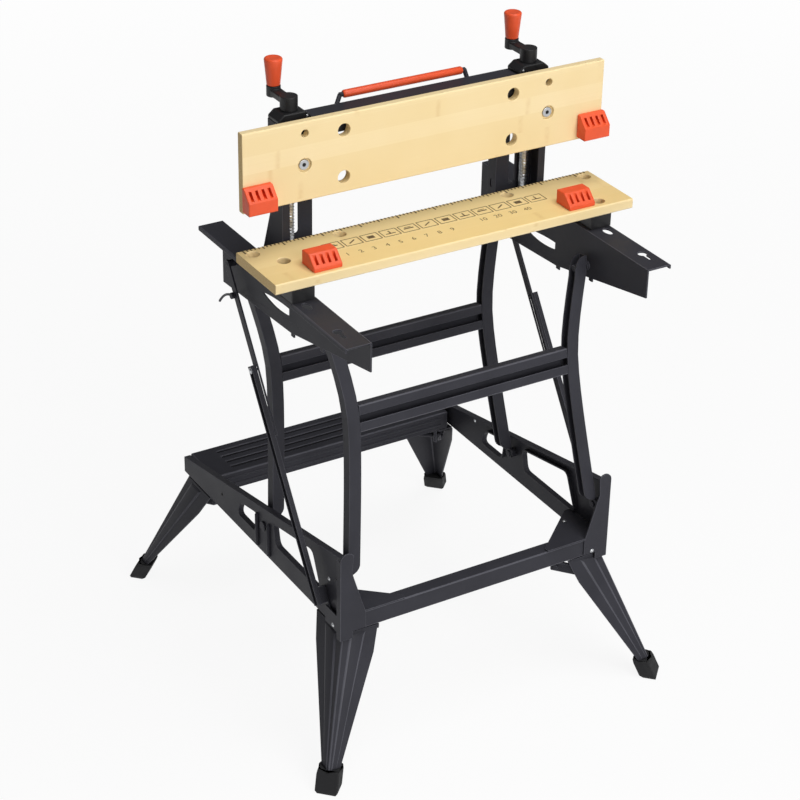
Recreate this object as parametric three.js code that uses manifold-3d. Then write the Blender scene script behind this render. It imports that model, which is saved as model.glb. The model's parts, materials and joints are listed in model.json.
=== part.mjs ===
// Dual-height folding workbench: a pressed-steel base on four fold-in legs, two H-frames that fold
// like a parallelogram, a pair of support beams, a fixed jaw and a tilting vise with a moving jaw.
// Millimetres. +X runs along the jaws, +Y towards the step, +Z up. The origin is on the floor, midway
// between the four feet.

import * as THREE from 'three';
import { mergeVertices } from 'three/addons/utils/BufferGeometryUtils.js';
import Module from 'manifold-3d';

const wasm = await Module();
wasm.setup();

// General sizes
const sheet = 2.5; // pressed steel sheet
const fit = 0.3; // running and seating clearance
const roundSteps = 16; // sides of a small round
const fineSteps = 24; // sides of a large round

// Jaws
const jawLength = 610;
const jawWidth = 121;
const fixedJawThickness = 16;
const movingJawThickness = 13;
const fixedJawStand = 26; // underside of the fixed jaw above the support beams
const fixedJawBack = -70.5;
const movingJawFront = -96.6;
const movingJawRise = 111; // lower edge of the moving jaw above the support beams
const jawChamfer = 1.5;
const dogHole = 20;
const smallHole = 12;
const backHoleInset = 17.5; // rear row of holes, from the fixed jaw's back edge
const backHoleX = [145, 287];
const leftSpareHole = [-258, 57]; // along the fixed jaw, and from its back edge
const rightSpareHole = [254, 102];
const movingHoleX = 143;
const movingHoleRises = [24, 96]; // above the moving jaw's lower edge
const smallHoleX = 206;
const smallHoleRise = 103;

// Base frame
const railOuter = 237; // half the width over the side rails
const railFront = -266.7;
const railRear = 275;
const railBottom = 222;
const railTopFront = 354;
const railTopRear = 250;
const railFlange = 11;
const railReturn = 10; // rear end of a rail, turned in
const windowHeadDrop = 17; // heads of the windows below the rail's top edge
const windowLip = 7; // rims of the windows, turned in
const longWindow = { sill: 36, rear: -52, headRear: -44, headFront: -170, front: -197, corner: 10 };
const shortWindow = { sill: 24, rear: 79, headRear: 69, headFront: 10, front: 16, corner: 12 };
const crossRailHeight = 30;
const crossRailDepth = 23.5;
const stepFront = 184;
const stepRear = 273;
const stepTop = 254;
const stepGrooves = 4;
const stepGroovePitch = 17.5;
const stepGrooveWidth = 7;
const stepGrooveDepth = 1.4;
const stepGrooveHalf = 186;
const bracketTop = 366;
const bracketTab = 212;
const bracketOuter = 243.5;
const bracketTabWidth = 22;
const bracketShoulder = 20; // width of the bracket's face below its round top
const bracketFoot = 44; // width of the face at the gusset
const bracketRound = 12;
const bracketLowFlange = 47;
const gussetWidth = 104;
const gussetDepth = 88;
const gussetTip = 14;

// Folding frames
const frontPivotY = -252;
const frontPivotZ = 305;
const rearPivotOffsetY = 240; // rear pivots against front pivots
const rearPivotOffsetZ = -32;
const linkRise = 388; // upper pivots above lower pivots
const linkShift = 68.4; // upper pivots behind lower pivots
const uprightWidth = 20;
const uprightDepth = 18;
const uprightMid = 193; // half spacing at the cross rail
const uprightBend = 60;
const uprightHead = 18; // upper end past its pivot
const uprightHeadGap = 5; // between the upper end and the beam's web
const uprightHeel = 12; // lower end of the flanges above the pivot
const uprightRound = 16; // inner corners of the flanges
const frameRailAt = 252; // along the link from the lower pivot
const frameRailHeight = 42;
const frameRailLip = 15;
const pivotRadius = 5;
const pivotShoulder = 8;

// Support beams
const beamRise = 55; // top of the beams above the front upper pivots
const beamWebInner = 232;
const beamFlangeOuter = 274;
const beamFront = -334;
const beamRear = 116;
const beamFrontDepth = 46;
const beamDepth = 91; // at the belly
const beamRearDepth = 103;
const beamBelly = -104; // where the lower edge levels out
const beamLip = 7;
const beamHooks = [-195, -108]; // small hooks below the web
const hookWidth = 9;
const hookDrop = 5;
const lensFront = -98; // curved opening in the web
const lensRear = -14;
const lensDrop = 54;
const lensHeight = 12;
const slotInset = 16; // keyhole and oval, from the flange's outer edge
const keyholeY = -284;
const keyholeRadius = 7;
const keyholeNeck = [21, 5];
const ovalY = -196;
const ovalRadii = [6, 11];
const saddleWall = 3;
const saddleInset = 10; // saddle ends from the fixed jaw's edges

// Struts
const strutTopY = 73;
const strutTopDrop = 51; // upper strut pivots below the beams' tops
const strutFootY = -231;
const strutFootZ = 240;
const strutTab = 3;
const strutStandOff = 9; // upper strut outside the lower strut's eye
const strutWidth = 14;
const strutDepth = 8;
const strutNeck = [17, 44]; // where the flat eye laps the channel, from the strut's foot
const strutPinAt = 384; // pin of the lower strut, from the strut's foot
const strutTravel = 91; // of the pin in the slot, as the bench folds
const strutPin = 1.8;
const strutPinHead = 4.2;
const strutSlot = 5; // half width of the slot
const strutPivot = 3;
const strutShoulder = 5.5;
const releaseAt = [-22, -43]; // lever boss against the strut's top, along Y and Z
const releaseReach = [43, -28];
const releaseWire = 2;
const releaseBoss = 5;

// Legs
const legTopZ = 218.5;
const legCornerX = 236;
const legCornerY = 262.5;
const legFootX = 303;
const legFootY = 337;
const legFootZ = 18;
const legFaceTop = 62; // front or rear face, at the hinge
const legSideTop = 80; // outer side face, at the hinge
const legFootFace = 18; // front or rear face, at the foot
const legFootSide = 17; // outer side face, at the foot
const legKinkZ = 180;
const legKinkFlare = 6;
const legFarZ = 217.8;
const legAxisZ = 200;
const legAxisInset = 43; // hinge axis from the leg's top corner, along both sides
const legFoldHeading = THREE.MathUtils.degToRad(40);
const legPinRadius = 4;
const legPinHalf = 40;
const cheekOuter = [31, 37]; // leg cheeks along the hinge axis
const cheekInner = [24, 30]; // hinge plate ears
const cheekReach = 9;
const cheekLength = 60;
const cheekSpare = 24; // room for the cheeks inside the leg's open side
const hingePlateEnd = 18;
const hingePlateTip = 26;
const hingePlateSpare = 14; // plate past the leg's front or rear face
const footHeight = 33;
const footHalf = 18; // half the width, across the leg's ridge
const footProud = 3; // rubber outside the leg's ridge
const footBehind = 25; // rubber behind the leg's ridge
const footSole = [3, 5]; // inset and height of the sole's taper
const footRim = [1, 6]; // inset and depth of the rim's taper

// Vise
const viseAxisY = 2;
const viseAxisDrop = 56.6; // tilt pivots below the beams' tops
const postInner = 160;
const postOuter = 227;
const postFront = -66;
const postRear = -30.5;
const postFlangeRear = -10.5; // rear edge of the inner flange
const postShelfFront = -58;
const postEye = [3.5, 7.5]; // oval opening in the inner flange
const postEyeRise = 32; // above the beams' tops
const postLip = 12;
const postShelfRise = 4; // lowest shelf of a post above the beams' tops
const postHeight = 191;
const postEar = 14;
const postWaist = [40, 134]; // where the outer plate's edges start to lean, above the pivot
const postSlot = 11;
const postSlotInset = 29;
const postSlotEnds = [26, 30]; // slot ends from the shelf and from the post's top
const screwX = 203;
const screwY = -43;
const screwRadius = 7;
const screwPoint = [1, 1.5];
const barSeat = 1; // gap between the posts' tops and the top bar
const barHalf = 229;
const barFront = -76;
const barRear = -26;
const barHeight = 22;
const bearingHeight = 13;
const bearingInner = 27; // from the screw
const bearingShoulder = [17, 5]; // half width of the top, height of the ends
const bearingFront = 18;
const bearingRear = 15;
const crankRise = 21; // crank's top above the bearing
const crankArm = 46;
const crankBoss = 13;
const crankEnd = 10.5;
const crankEndHeight = 16;
const crankArmHalf = 8.5;
const crankArmHeight = 14; // arm's lower face below the crank's top
const crankArmDip = 4; // arm's upper face below the crank's top
const knobHeight = 41;
const knobTop = 13.5;
const knobFoot = 10;
const knobPin = 4;
const knobPinTip = 8; // pin's end below the knob's top
const knobRound = 4;
const handleHalf = 106;
const handleSplay = 9;
const handleY = -18;
const handleDrop = 16; // handle pivots below the top bar's top
const handleRise = 24;
const handleRod = 3.5;
const handleBoss = 5.5;
const handlePin = 2.5;
const gripRadius = 6;
const jawBoltX = 206.5;
const jawBoltRise = 55; // above the moving jaw's lower edge
const jawBoltHead = 8;
const jawBoltShank = 4;
const jawBoltSink = 2; // head below the jaw's face
const boltRecess = 11;
const boltRecessDepth = 5;
const sliderHeight = 38;
const sliderInner = 24; // from the post's inner wall
const sliderBehind = 9.5; // behind the screw

// Pegs
const pegLength = 37;
const pegWidth = 46;
const pegHeight = 22.5;
const pegFlat = 20; // length of the high end before the slope
const pegLow = 6;
const pegEdge = 2;
const pegSlots = 4;
const pegSlotWidth = 3.6;
const pegSlotEnds = [2, 4]; // slot ends from the slope's top and from the low end
const fixedPegX = 217;
const fixedPegY = -166;
const movingPegX = 284;
const movingPegRise = 23; // above the moving jaw's lower edge

// Finishes
const finishes = {
  steel: { color: 0x3a3a3d, roughness: 0.5, metalness: 0.4 },
  plated: { color: 0xb8babd, roughness: 0.35, metalness: 1 },
  bamboo: { color: 0xf0d9a0, roughness: 0.55, metalness: 0 },
  orange: { color: 0xee5a2f, roughness: 0.45, metalness: 0 },
  blackPlastic: { color: 0x1d1d1f, roughness: 0.55, metalness: 0 },
  rubber: { color: 0x1b1b1c, roughness: 0.8, metalness: 0 },
};

// Solids and meshes
function toSolid(geometry) {
  const bare = geometry.clone();
  bare.deleteAttribute('normal');
  bare.deleteAttribute('uv');
  const merged = mergeVertices(bare, 1e-4);
  return new wasm.Manifold(new wasm.Mesh({
    numProp: 3,
    vertProperties: new Float32Array(merged.attributes.position.array),
    triVerts: new Uint32Array(merged.index.array),
  }));
}

function toGeometry(solid) {
  const mesh = solid.getMesh();
  const geometry = new THREE.BufferGeometry();
  geometry.setAttribute('position', new THREE.BufferAttribute(mesh.vertProperties, 3));
  geometry.setIndex(new THREE.BufferAttribute(mesh.triVerts, 1));
  geometry.computeVertexNormals();
  return geometry;
}

function addPiece(group, name, solid, finish) {
  const mesh = new THREE.Mesh(toGeometry(solid), new THREE.MeshStandardMaterial(finishes[finish]));
  mesh.name = name;
  group.add(mesh);
  return mesh;
}

function join(solids) {
  return solids.reduce((whole, next) => whole.add(next));
}

// A box between two corners, given as pairs along each axis in either order.
function block([x0, x1], [y0, y1], [z0, z1]) {
  const size = [Math.abs(x1 - x0), Math.abs(y1 - y0), Math.abs(z1 - z0)];
  const box = new THREE.BoxGeometry(...size);
  box.translate((x0 + x1) / 2, (y0 + y1) / 2, (z0 + z1) / 2);
  return toSolid(box);
}

// An outline pushed along one world axis, from one place to another in either order.
const plateBasis = {
  x: [[0, 1, 0], [0, 0, 1], [1, 0, 0]], // outline in (y, z)
  y: [[0, 0, 1], [1, 0, 0], [0, 1, 0]], // outline in (z, x)
  z: [[1, 0, 0], [0, 1, 0], [0, 0, 1]], // outline in (x, y)
};

function plate(axis, shape, from, to) {
  const depth = Math.abs(to - from);
  const geometry = new THREE.ExtrudeGeometry(shape, { depth, bevelEnabled: false, curveSegments: 8 });
  const columns = plateBasis[axis].map((column) => new THREE.Vector3(...column));
  geometry.applyMatrix4(new THREE.Matrix4().makeBasis(...columns));
  const start = Math.min(from, to);
  const shift = columns[2].multiplyScalar(start);
  geometry.translate(shift.x, shift.y, shift.z);
  return toSolid(geometry);
}

function outline(points) {
  return new THREE.Shape(points.map(([u, v]) => new THREE.Vector2(u, v)));
}

// An outline whose corners are rounded, for windows and plates.
function roundedOutline(points, radius) {
  const corners = points.map(([u, v]) => new THREE.Vector2(u, v));
  const shape = new THREE.Shape();
  corners.forEach((corner, i) => {
    const before = corners[(i + corners.length - 1) % corners.length];
    const after = corners[(i + 1) % corners.length];
    const start = corner.clone().add(before.clone().sub(corner).setLength(radius));
    const end = corner.clone().add(after.clone().sub(corner).setLength(radius));
    if (i === 0) shape.moveTo(start.x, start.y);
    else shape.lineTo(start.x, start.y);
    shape.quadraticCurveTo(corner.x, corner.y, end.x, end.y);
  });
  return shape;
}

// A round bar between two points.
function bar(from, to, radius, steps = roundSteps) {
  const a = new THREE.Vector3(...from);
  const b = new THREE.Vector3(...to);
  const length = a.distanceTo(b);
  const geometry = new THREE.CylinderGeometry(radius, radius, length, steps);
  const turn = new THREE.Quaternion().setFromUnitVectors(
    new THREE.Vector3(0, 1, 0), b.clone().sub(a).normalize());
  geometry.applyQuaternion(turn);
  const middle = a.add(b).multiplyScalar(0.5);
  geometry.translate(middle.x, middle.y, middle.z);
  return toSolid(geometry);
}

// A turned solid about a vertical axis through the given point; the profile is (radius, height).
function turned(profile, [x, y, z], steps = fineSteps) {
  const geometry = new THREE.LatheGeometry(profile.map(([r, h]) => new THREE.Vector2(r, h)), steps);
  geometry.rotateX(Math.PI / 2);
  geometry.translate(x, y, z);
  return toSolid(geometry);
}

// A closed skin through level rings of equal count, lowest first; mirrored rings are wound the other way.
function loft(rings, mirrored) {
  const count = rings[0].length;
  const positions = rings.flat(2);
  const triangles = [];
  for (let level = 0; level + 1 < rings.length; level += 1) {
    for (let i = 0; i < count; i += 1) {
      const next = (i + 1) % count;
      const low = level * count;
      const high = low + count;
      triangles.push([low + i, low + next, high + next], [low + i, high + next, high + i]);
    }
  }
  const plan = rings[0].map(([x, y]) => new THREE.Vector2(mirrored ? -x : x, y));
  const caps = THREE.ShapeUtils.triangulateShape(plan, []);
  const topStart = (rings.length - 1) * count;
  caps.forEach(([a, b, c]) => {
    triangles.push([a, c, b], [topStart + a, topStart + b, topStart + c]);
  });
  const ordered = mirrored ? triangles.map(([a, b, c]) => [a, c, b]) : triangles;
  const geometry = new THREE.BufferGeometry();
  geometry.setAttribute('position', new THREE.Float32BufferAttribute(positions, 3));
  geometry.setIndex(ordered.flat());
  return toSolid(geometry);
}

const sides = [['left', -1], ['right', 1]];
const ends = [['front', -1], ['rear', 1]];
const corners = ends.flatMap(([end, sy]) => sides.map(([side, sx]) => [`${end}_${side}`, sx, sy]));

// Places that several pieces share
const railInner = railOuter - sheet;
const railSlope = (railTopFront - railTopRear) / (railRear - railFront);
const railTopAt = (y) => railTopRear + railSlope * (railRear - y);
const rearPivotY = frontPivotY + rearPivotOffsetY;
const rearPivotZ = frontPivotZ + rearPivotOffsetZ;
const linkLength = Math.hypot(linkRise, linkShift);
const linkLean = Math.atan2(linkShift, linkRise);
const lowerPivots = { front: [frontPivotY, frontPivotZ], rear: [rearPivotY, rearPivotZ] };
const beamTop = frontPivotZ + linkRise + beamRise;
const beamWebOuter = beamWebInner + sheet;
const uprightFootOuter = railOuter - railFlange - 2 * fit; // inside the rail's top flange
const uprightHeadOuter = beamWebInner - uprightHeadGap;
const strutInner = railOuter + fit;
const strutPlane = strutInner + strutStandOff;
const strutTopZ = beamTop - strutTopDrop;
const strutLean = Math.atan2(strutTopY - strutFootY, strutTopZ - strutFootZ);
const strutLength = Math.hypot(strutTopY - strutFootY, strutTopZ - strutFootZ);
const fixedJawFront = fixedJawBack - jawWidth;
const fixedJawBottom = beamTop + fixedJawStand;
const workHeight = fixedJawBottom + fixedJawThickness;
const movingJawBack = movingJawFront + movingJawThickness;
const movingJawBottom = beamTop + movingJawRise;
const movingPegZ = movingJawBottom + movingPegRise;
const jawBoltZ = movingJawBottom + jawBoltRise;
const viseAxisZ = beamTop - viseAxisDrop;
const postShelf = beamTop + postShelfRise;
const postTop = postShelf + postHeight;
const barBottom = postTop + barSeat;
const barTop = barBottom + barHeight;
const bearingTop = barTop + bearingHeight;
const crankTop = bearingTop + crankRise;
const crankArmBottom = crankTop - crankArmHeight;
const handleFootZ = barTop - handleDrop;
const cut = 1; // how far a cutting solid runs past the face it opens

// Base frame

// A window of a side rail, grown by a margin on every side.
function windowOutline({ sill, rear, headRear, headFront, front, corner }, grow) {
  const foot = railBottom + sill - grow;
  const head = (y) => [y, railTopAt(y) - windowHeadDrop + grow];
  return roundedOutline(
    [[front - grow, foot], [rear + grow, foot], head(headRear + grow), head(headFront - grow)],
    corner + grow);
}

// A pressed side rail: a web, two windows with lips, a top flange turned in and a short return at the rear.
function sideRail(side) {
  const web = outline([
    [railFront, railBottom], [railRear, railBottom], [railRear, railTopRear], [railFront, railTopFront],
  ]);
  const rims = [longWindow, shortWindow].map((window) => {
    const hole = windowOutline(window, 0);
    web.holes.push(hole);
    const rim = windowOutline(window, sheet);
    rim.holes.push(hole);
    return plate('x', rim, side * (railInner - windowLip), side * railOuter);
  });
  const flange = outline([
    [railFront, railTopFront - sheet], [railRear, railTopRear - sheet], [railRear, railTopRear],
    [railFront, railTopFront],
  ]);
  const body = join([
    plate('x', web, side * railInner, side * railOuter), ...rims,
    plate('x', flange, side * (railOuter - railFlange), side * railOuter),
    block([side * (railOuter - railReturn), side * railOuter], [railRear - sheet, railRear],
      [railBottom, railTopRear]),
  ]);
  const holes = Object.values(lowerPivots).map(([y, z]) => (
    bar([side * (railInner - cut), y, z], [side * (railOuter + cut), y, z], pivotRadius + fit)));
  const stud = bar([side * railInner, strutFootY, strutFootZ],
    [side * (strutInner + strutTab + fit), strutFootY, strutFootZ], strutPivot);
  return body.subtract(join(holes)).add(stud);
}

// The foot step: a tray turned upside down, with grooves pressed along its top.
function stepPlate() {
  const half = railOuter - railFlange - fit;
  const inside = half - sheet;
  const shell = block([-half, half], [stepFront, stepRear], [railBottom, stepTop]).subtract(
    block([-inside, inside], [stepFront + sheet, stepRear - sheet], [railBottom - cut, stepTop - sheet]));
  const firstGroove = (stepFront + stepRear) / 2 - ((stepGrooves - 1) * stepGroovePitch) / 2;
  const grooves = Array.from({ length: stepGrooves }, (_, i) => {
    const y = firstGroove + i * stepGroovePitch;
    return block([-stepGrooveHalf, stepGrooveHalf],
      [y - stepGrooveWidth / 2, y + stepGrooveWidth / 2], [stepTop - stepGrooveDepth, stepTop + cut]);
  });
  return shell.subtract(join(grooves));
}

// The front cross rail: a channel that opens to the rear.
function frontCrossRail() {
  const half = railInner - fit;
  const top = railBottom + crossRailHeight;
  const back = railFront + crossRailDepth;
  return block([-half, half], [railFront, back], [railBottom, top]).subtract(
    block([-half - cut, half + cut], [railFront + sheet, back + cut], [railBottom + sheet, top - sheet]));
}

// A front corner bracket: a front plate over the cross rail's end, a side flange outside the strut's foot
// and a level gusset in the corner.
function cornerBracket(side) {
  const faceBack = railFront - fit;
  const faceFront = faceBack - sheet;
  const gussetBottom = railBottom + crossRailHeight + fit;
  const faceFoot = railBottom + sheet + fit;
  const tabInner = bracketOuter - bracketTabWidth;
  const face = new THREE.Shape();
  face.moveTo(bracketTab, bracketOuter);
  face.lineTo(bracketTop - bracketRound, bracketOuter);
  face.absarc(bracketTop - bracketRound, bracketOuter - bracketRound, bracketRound,
    Math.PI / 2, -Math.PI / 3, true);
  face.lineTo(bracketTop - 3 * bracketRound, bracketOuter - bracketShoulder);
  face.lineTo(gussetBottom, bracketOuter - bracketFoot);
  face.lineTo(faceFoot, bracketOuter - bracketFoot);
  face.lineTo(faceFoot, tabInner);
  face.lineTo(bracketTab, tabInner);
  const mirrored = outline(face.getPoints(4).map(({ x, y }) => [x, side * y]));
  const flangeInner = bracketOuter - sheet;
  const lowFlange = block([side * flangeInner, side * bracketOuter],
    [faceFront, faceFront + bracketLowFlange], [bracketTab + bracketRound, gussetBottom]);
  const highFlange = block([side * flangeInner, side * bracketOuter],
    [faceFront, faceFront + bracketRound], [bracketTab, bracketTop - bracketRound - cut]);
  const gussetOuter = railInner - fit;
  const gussetInner = gussetOuter - gussetWidth;
  const gussetFront = faceFront + sheet / 2;
  const gusset = outline([
    [gussetOuter, gussetFront], [gussetOuter, faceFront + gussetDepth],
    [gussetOuter - gussetTip, faceFront + gussetDepth], [gussetInner, gussetFront + cheekReach],
    [gussetInner, gussetFront],
  ].map(([x, y]) => [side * x, y]));
  return join([
    plate('y', mirrored, faceFront, faceBack), lowFlange, highFlange,
    plate('z', gusset, gussetBottom, gussetBottom + sheet),
  ]);
}

// Legs and feet

// A leg's outer ridge at a height, on the corner where x and y are both positive.
function legRidge(z) {
  const share = (legTopZ - z) / (legTopZ - legFootZ);
  return [legCornerX + share * (legFootX - legCornerX), legCornerY + share * (legFootY - legCornerY)];
}

// Level rings of a leg's angle section, grown by a margin; a filled ring also spans the open side.
function legRings(sx, sy, grow, filled) {
  const kinkShare = (legKinkZ - legFootZ) / (legTopZ - legFootZ);
  const atKink = (narrow, wide) => THREE.MathUtils.lerp(narrow, wide, kinkShare) + legKinkFlare;
  const levels = [
    { ridge: legFootZ - grow, far: legFootZ - grow, face: legFootFace, side: legFootSide },
    {
      ridge: legKinkZ, far: legKinkZ,
      face: atKink(legFootFace, legFaceTop), side: atKink(legFootSide, legSideTop),
    },
    { ridge: legTopZ, far: legFarZ, face: legFaceTop, side: legSideTop },
  ];
  return levels.map(({ ridge, far, face, side }) => {
    const [ru, rv] = legRidge(ridge).map((value) => value + grow);
    const [fu, fv] = legRidge(far).map((value) => value + grow);
    const faceEnd = fu - face - 2 * grow;
    const sideEnd = fv - side - 2 * grow;
    const wall = sheet + 2 * grow;
    const angle = [
      [ru, rv, ridge], [faceEnd, fv, far], [faceEnd, fv - wall, far], [ru - wall, rv - wall, ridge],
      [fu - wall, sideEnd, far], [fu, sideEnd, far],
    ];
    const back = faceEnd - cheekSpare;
    const full = [[ru, rv, ridge], [back, fv, far], [back, sideEnd, far], [fu, sideEnd, far]];
    return (filled ? full : angle).map(([u, v, z]) => [sx * u, sy * v, z]);
  });
}

// The frame of a leg's hinge: its middle, its axis and the way the leg leans out, all level.
function legHinge(sx, sy) {
  const middle = new THREE.Vector3(
    sx * (legCornerX - legAxisInset), sy * (legCornerY - legAxisInset), legAxisZ);
  const out = new THREE.Vector3(sx * Math.sin(legFoldHeading), sy * Math.cos(legFoldHeading), 0);
  const axis = new THREE.Vector3().crossVectors(out, new THREE.Vector3(0, 0, 1));
  return { middle, out, axis };
}

// A cheek plate square to a leg's hinge axis, between two places along it.
function hingeCheek({ middle, out, axis }, [from, to], [near, far], [low, high]) {
  const geometry = new THREE.BoxGeometry(to - from, far - near, high - low);
  geometry.translate((from + to) / 2, (near + far) / 2, (low + high) / 2);
  const basis = new THREE.Matrix4().makeBasis(axis, out, new THREE.Vector3(0, 0, 1));
  geometry.applyMatrix4(basis.setPosition(middle));
  return toSolid(geometry);
}

function mirrorSpan([from, to]) {
  return [-to, -from];
}

function hingeBar(sx, sy, half, radius) {
  const { middle, axis } = legHinge(sx, sy);
  const a = middle.clone().addScaledVector(axis, -half);
  const b = middle.clone().addScaledVector(axis, half);
  return bar(a.toArray(), b.toArray(), radius);
}

// The plate that carries a leg's hinge pin, under the corner of the base.
function legHingePlate(sx, sy) {
  const top = railBottom - fit;
  const plateEnd = legCornerX - legFaceTop - hingePlateSpare;
  const plan = outline([
    [railInner, legCornerY], [plateEnd, legCornerY], [plateEnd, legCornerY - hingePlateEnd],
    [railInner - hingePlateTip, legCornerY - legSideTop], [railInner, legCornerY - legSideTop],
  ].map(([u, v]) => [sx * u, sy * v]));
  const hinge = legHinge(sx, sy);
  const ears = [cheekInner, mirrorSpan(cheekInner)].map((span) => (
    hingeCheek(hinge, span, [-cheekReach, cheekReach], [-cheekReach, top - sheet / 2 - legAxisZ])));
  return join([plate('z', plan, top - sheet, top), ...ears, hingeBar(sx, sy, legPinHalf, legPinRadius)]);
}

// A tapered pressed leg: an angle section, with two cheeks that ride on the hinge pin.
function leg(sx, sy) {
  const mirrored = sx * sy < 0;
  const hinge = legHinge(sx, sy);
  const envelope = loft(legRings(sx, sy, 0, true), mirrored);
  const cheeks = [cheekOuter, mirrorSpan(cheekOuter)].map((span) => (
    hingeCheek(hinge, span, [-cheekReach, cheekLength], [-cheekReach, cheekReach])));
  return loft(legRings(sx, sy, 0, false), mirrored)
    .add(join(cheeks).intersect(envelope))
    .subtract(hingeBar(sx, sy, legPinHalf + cheekReach, legPinRadius + fit));
}

// A rubber foot: a cap set square to the corner that leans with the leg, with a pocket for the leg's end.
function foot(sx, sy) {
  const ring = (inset, z) => {
    const [ridgeX, ridgeY] = legRidge(z);
    const half = footHalf - inset;
    const near = footProud - inset;
    const far = inset - footBehind;
    return [[half, near], [-half, near], [-half, far], [half, far]].map(([across, out]) => (
      [sx * (ridgeX + (out + across) * Math.SQRT1_2), sy * (ridgeY + (out - across) * Math.SQRT1_2), z]));
  };
  const [soleInset, soleHeight] = footSole;
  const [rimInset, rimDepth] = footRim;
  const cap = loft([ring(soleInset, 0), ring(0, soleHeight), ring(0, footHeight - rimDepth),
    ring(rimInset, footHeight)], sx * sy < 0);
  return cap.subtract(loft(legRings(sx, sy, fit, false), sx * sy < 0));
}

// Folding H-frames, drawn with the lower pivot at the origin and the link along +Z

// Half spacing of the uprights along the link: straight runs that meet in a bend at the cross rail.
function uprightCentre(along) {
  const d = THREE.MathUtils.clamp(along, 0, linkLength) - frameRailAt;
  const runBelow = uprightFootOuter - uprightWidth / 2 - uprightMid;
  const runAbove = uprightHeadOuter - uprightWidth / 2 - uprightMid;
  const rise = (distance) => Math.hypot(distance, uprightBend) - uprightBend;
  return d < 0
    ? uprightMid + (runBelow * rise(d)) / rise(frameRailAt)
    : uprightMid + (runAbove * rise(d)) / rise(linkLength - frameRailAt);
}

// A strip in (z, x) that follows the uprights' bend, between two offsets from their centre.
function uprightStrip(side, inner, outer) {
  const stations = 14;
  const reach = uprightHead;
  const at = Array.from({ length: stations + 1 }, (_, i) => (
    -reach + ((linkLength + 2 * reach) * i) / stations));
  const near = at.map((z) => [z, side * (uprightCentre(z) + inner)]);
  const far = at.map((z) => [z, side * (uprightCentre(z) + outer)]).reverse();
  return outline([...near, ...far]);
}

// What is cut from an upright's end so that its flanges finish square, with a round inner corner.
function flangeEnd(side, along, end, outward) {
  const past = end + outward * (uprightHead + uprightDepth);
  const turn = end - outward * uprightRound;
  const inner = uprightCentre(turn) - uprightWidth / 2;
  const clear = inner - uprightWidth / 2;
  const web = uprightCentre(along) + uprightWidth / 2 - sheet;
  const arc = Array.from({ length: fineSteps / 4 }, (_, i) => {
    const angle = (Math.PI * i) / (fineSteps / 2 - 2);
    return [turn + outward * uprightRound * Math.sin(angle), inner + uprightRound * (1 - Math.cos(angle))];
  });
  const corner = [[past, clear], [turn, clear], ...arc, [end, web], [past, web]];
  return plate('y', outline(corner.map(([z, x]) => [z, side * x])), -uprightDepth, uprightDepth);
}

// An upright: a channel that opens inwards, with a round lower end of its web about the pivot.
function upright(side) {
  const half = uprightWidth / 2;
  const deep = uprightDepth / 2;
  const solid = plate('y', uprightStrip(side, -half, half), -deep, deep);
  const hollow = plate('y', uprightStrip(side, -half - cut, half - sheet), -deep + sheet, deep - sheet);
  const rounded = new THREE.Shape();
  rounded.absarc(0, 0, deep, Math.PI, 2 * Math.PI);
  rounded.lineTo(deep, linkLength + uprightHead);
  rounded.lineTo(-deep, linkLength + uprightHead);
  const innermost = side * (uprightMid - uprightWidth);
  const outermost = side * (uprightHeadOuter + uprightWidth);
  const holes = [0, linkLength].map((z) => (
    bar([innermost, 0, z], [outermost, 0, z], pivotRadius + fit)));
  const corners = [
    flangeEnd(side, 0, uprightHeel, -1), flangeEnd(side, linkLength, linkLength + uprightHead, 1),
  ];
  return solid.subtract(hollow).intersect(plate('x', rounded, innermost, outermost))
    .subtract(join([...holes, ...corners]));
}

// The frame's cross rail: a lipped channel that opens to the front.
function frameRail() {
  const half = uprightMid - uprightWidth / 2 - fit;
  const deep = uprightDepth / 2;
  const low = frameRailAt - frameRailHeight / 2;
  const high = frameRailAt + frameRailHeight / 2;
  const shell = block([-half, half], [-deep, deep], [low, high]);
  const ends = [-half - cut, half + cut];
  const hollow = block(ends, [-deep + sheet, deep - sheet], [low + sheet, high - sheet]);
  const mouth = block(ends, [-deep - cut, 0], [low + frameRailLip, high - frameRailLip]);
  return shell.subtract(hollow).subtract(mouth);
}

// A shouldered pin that holds an upright's lower end off the side rail.
function pivotPin(side, [y, z]) {
  const round = (from, to, radius) => bar([side * from, y, z], [side * to, y, z], radius);
  return join([
    round(uprightFootOuter - 2 * sheet, railOuter + 2 * fit, pivotRadius),
    round(uprightFootOuter + fit, railInner - fit, pivotShoulder),
    round(railOuter + fit, railOuter + fit + strutTab, pivotShoulder),
  ]);
}

// Struts, drawn with the foot or the top at the origin and the strut along +Z or down -Z

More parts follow.
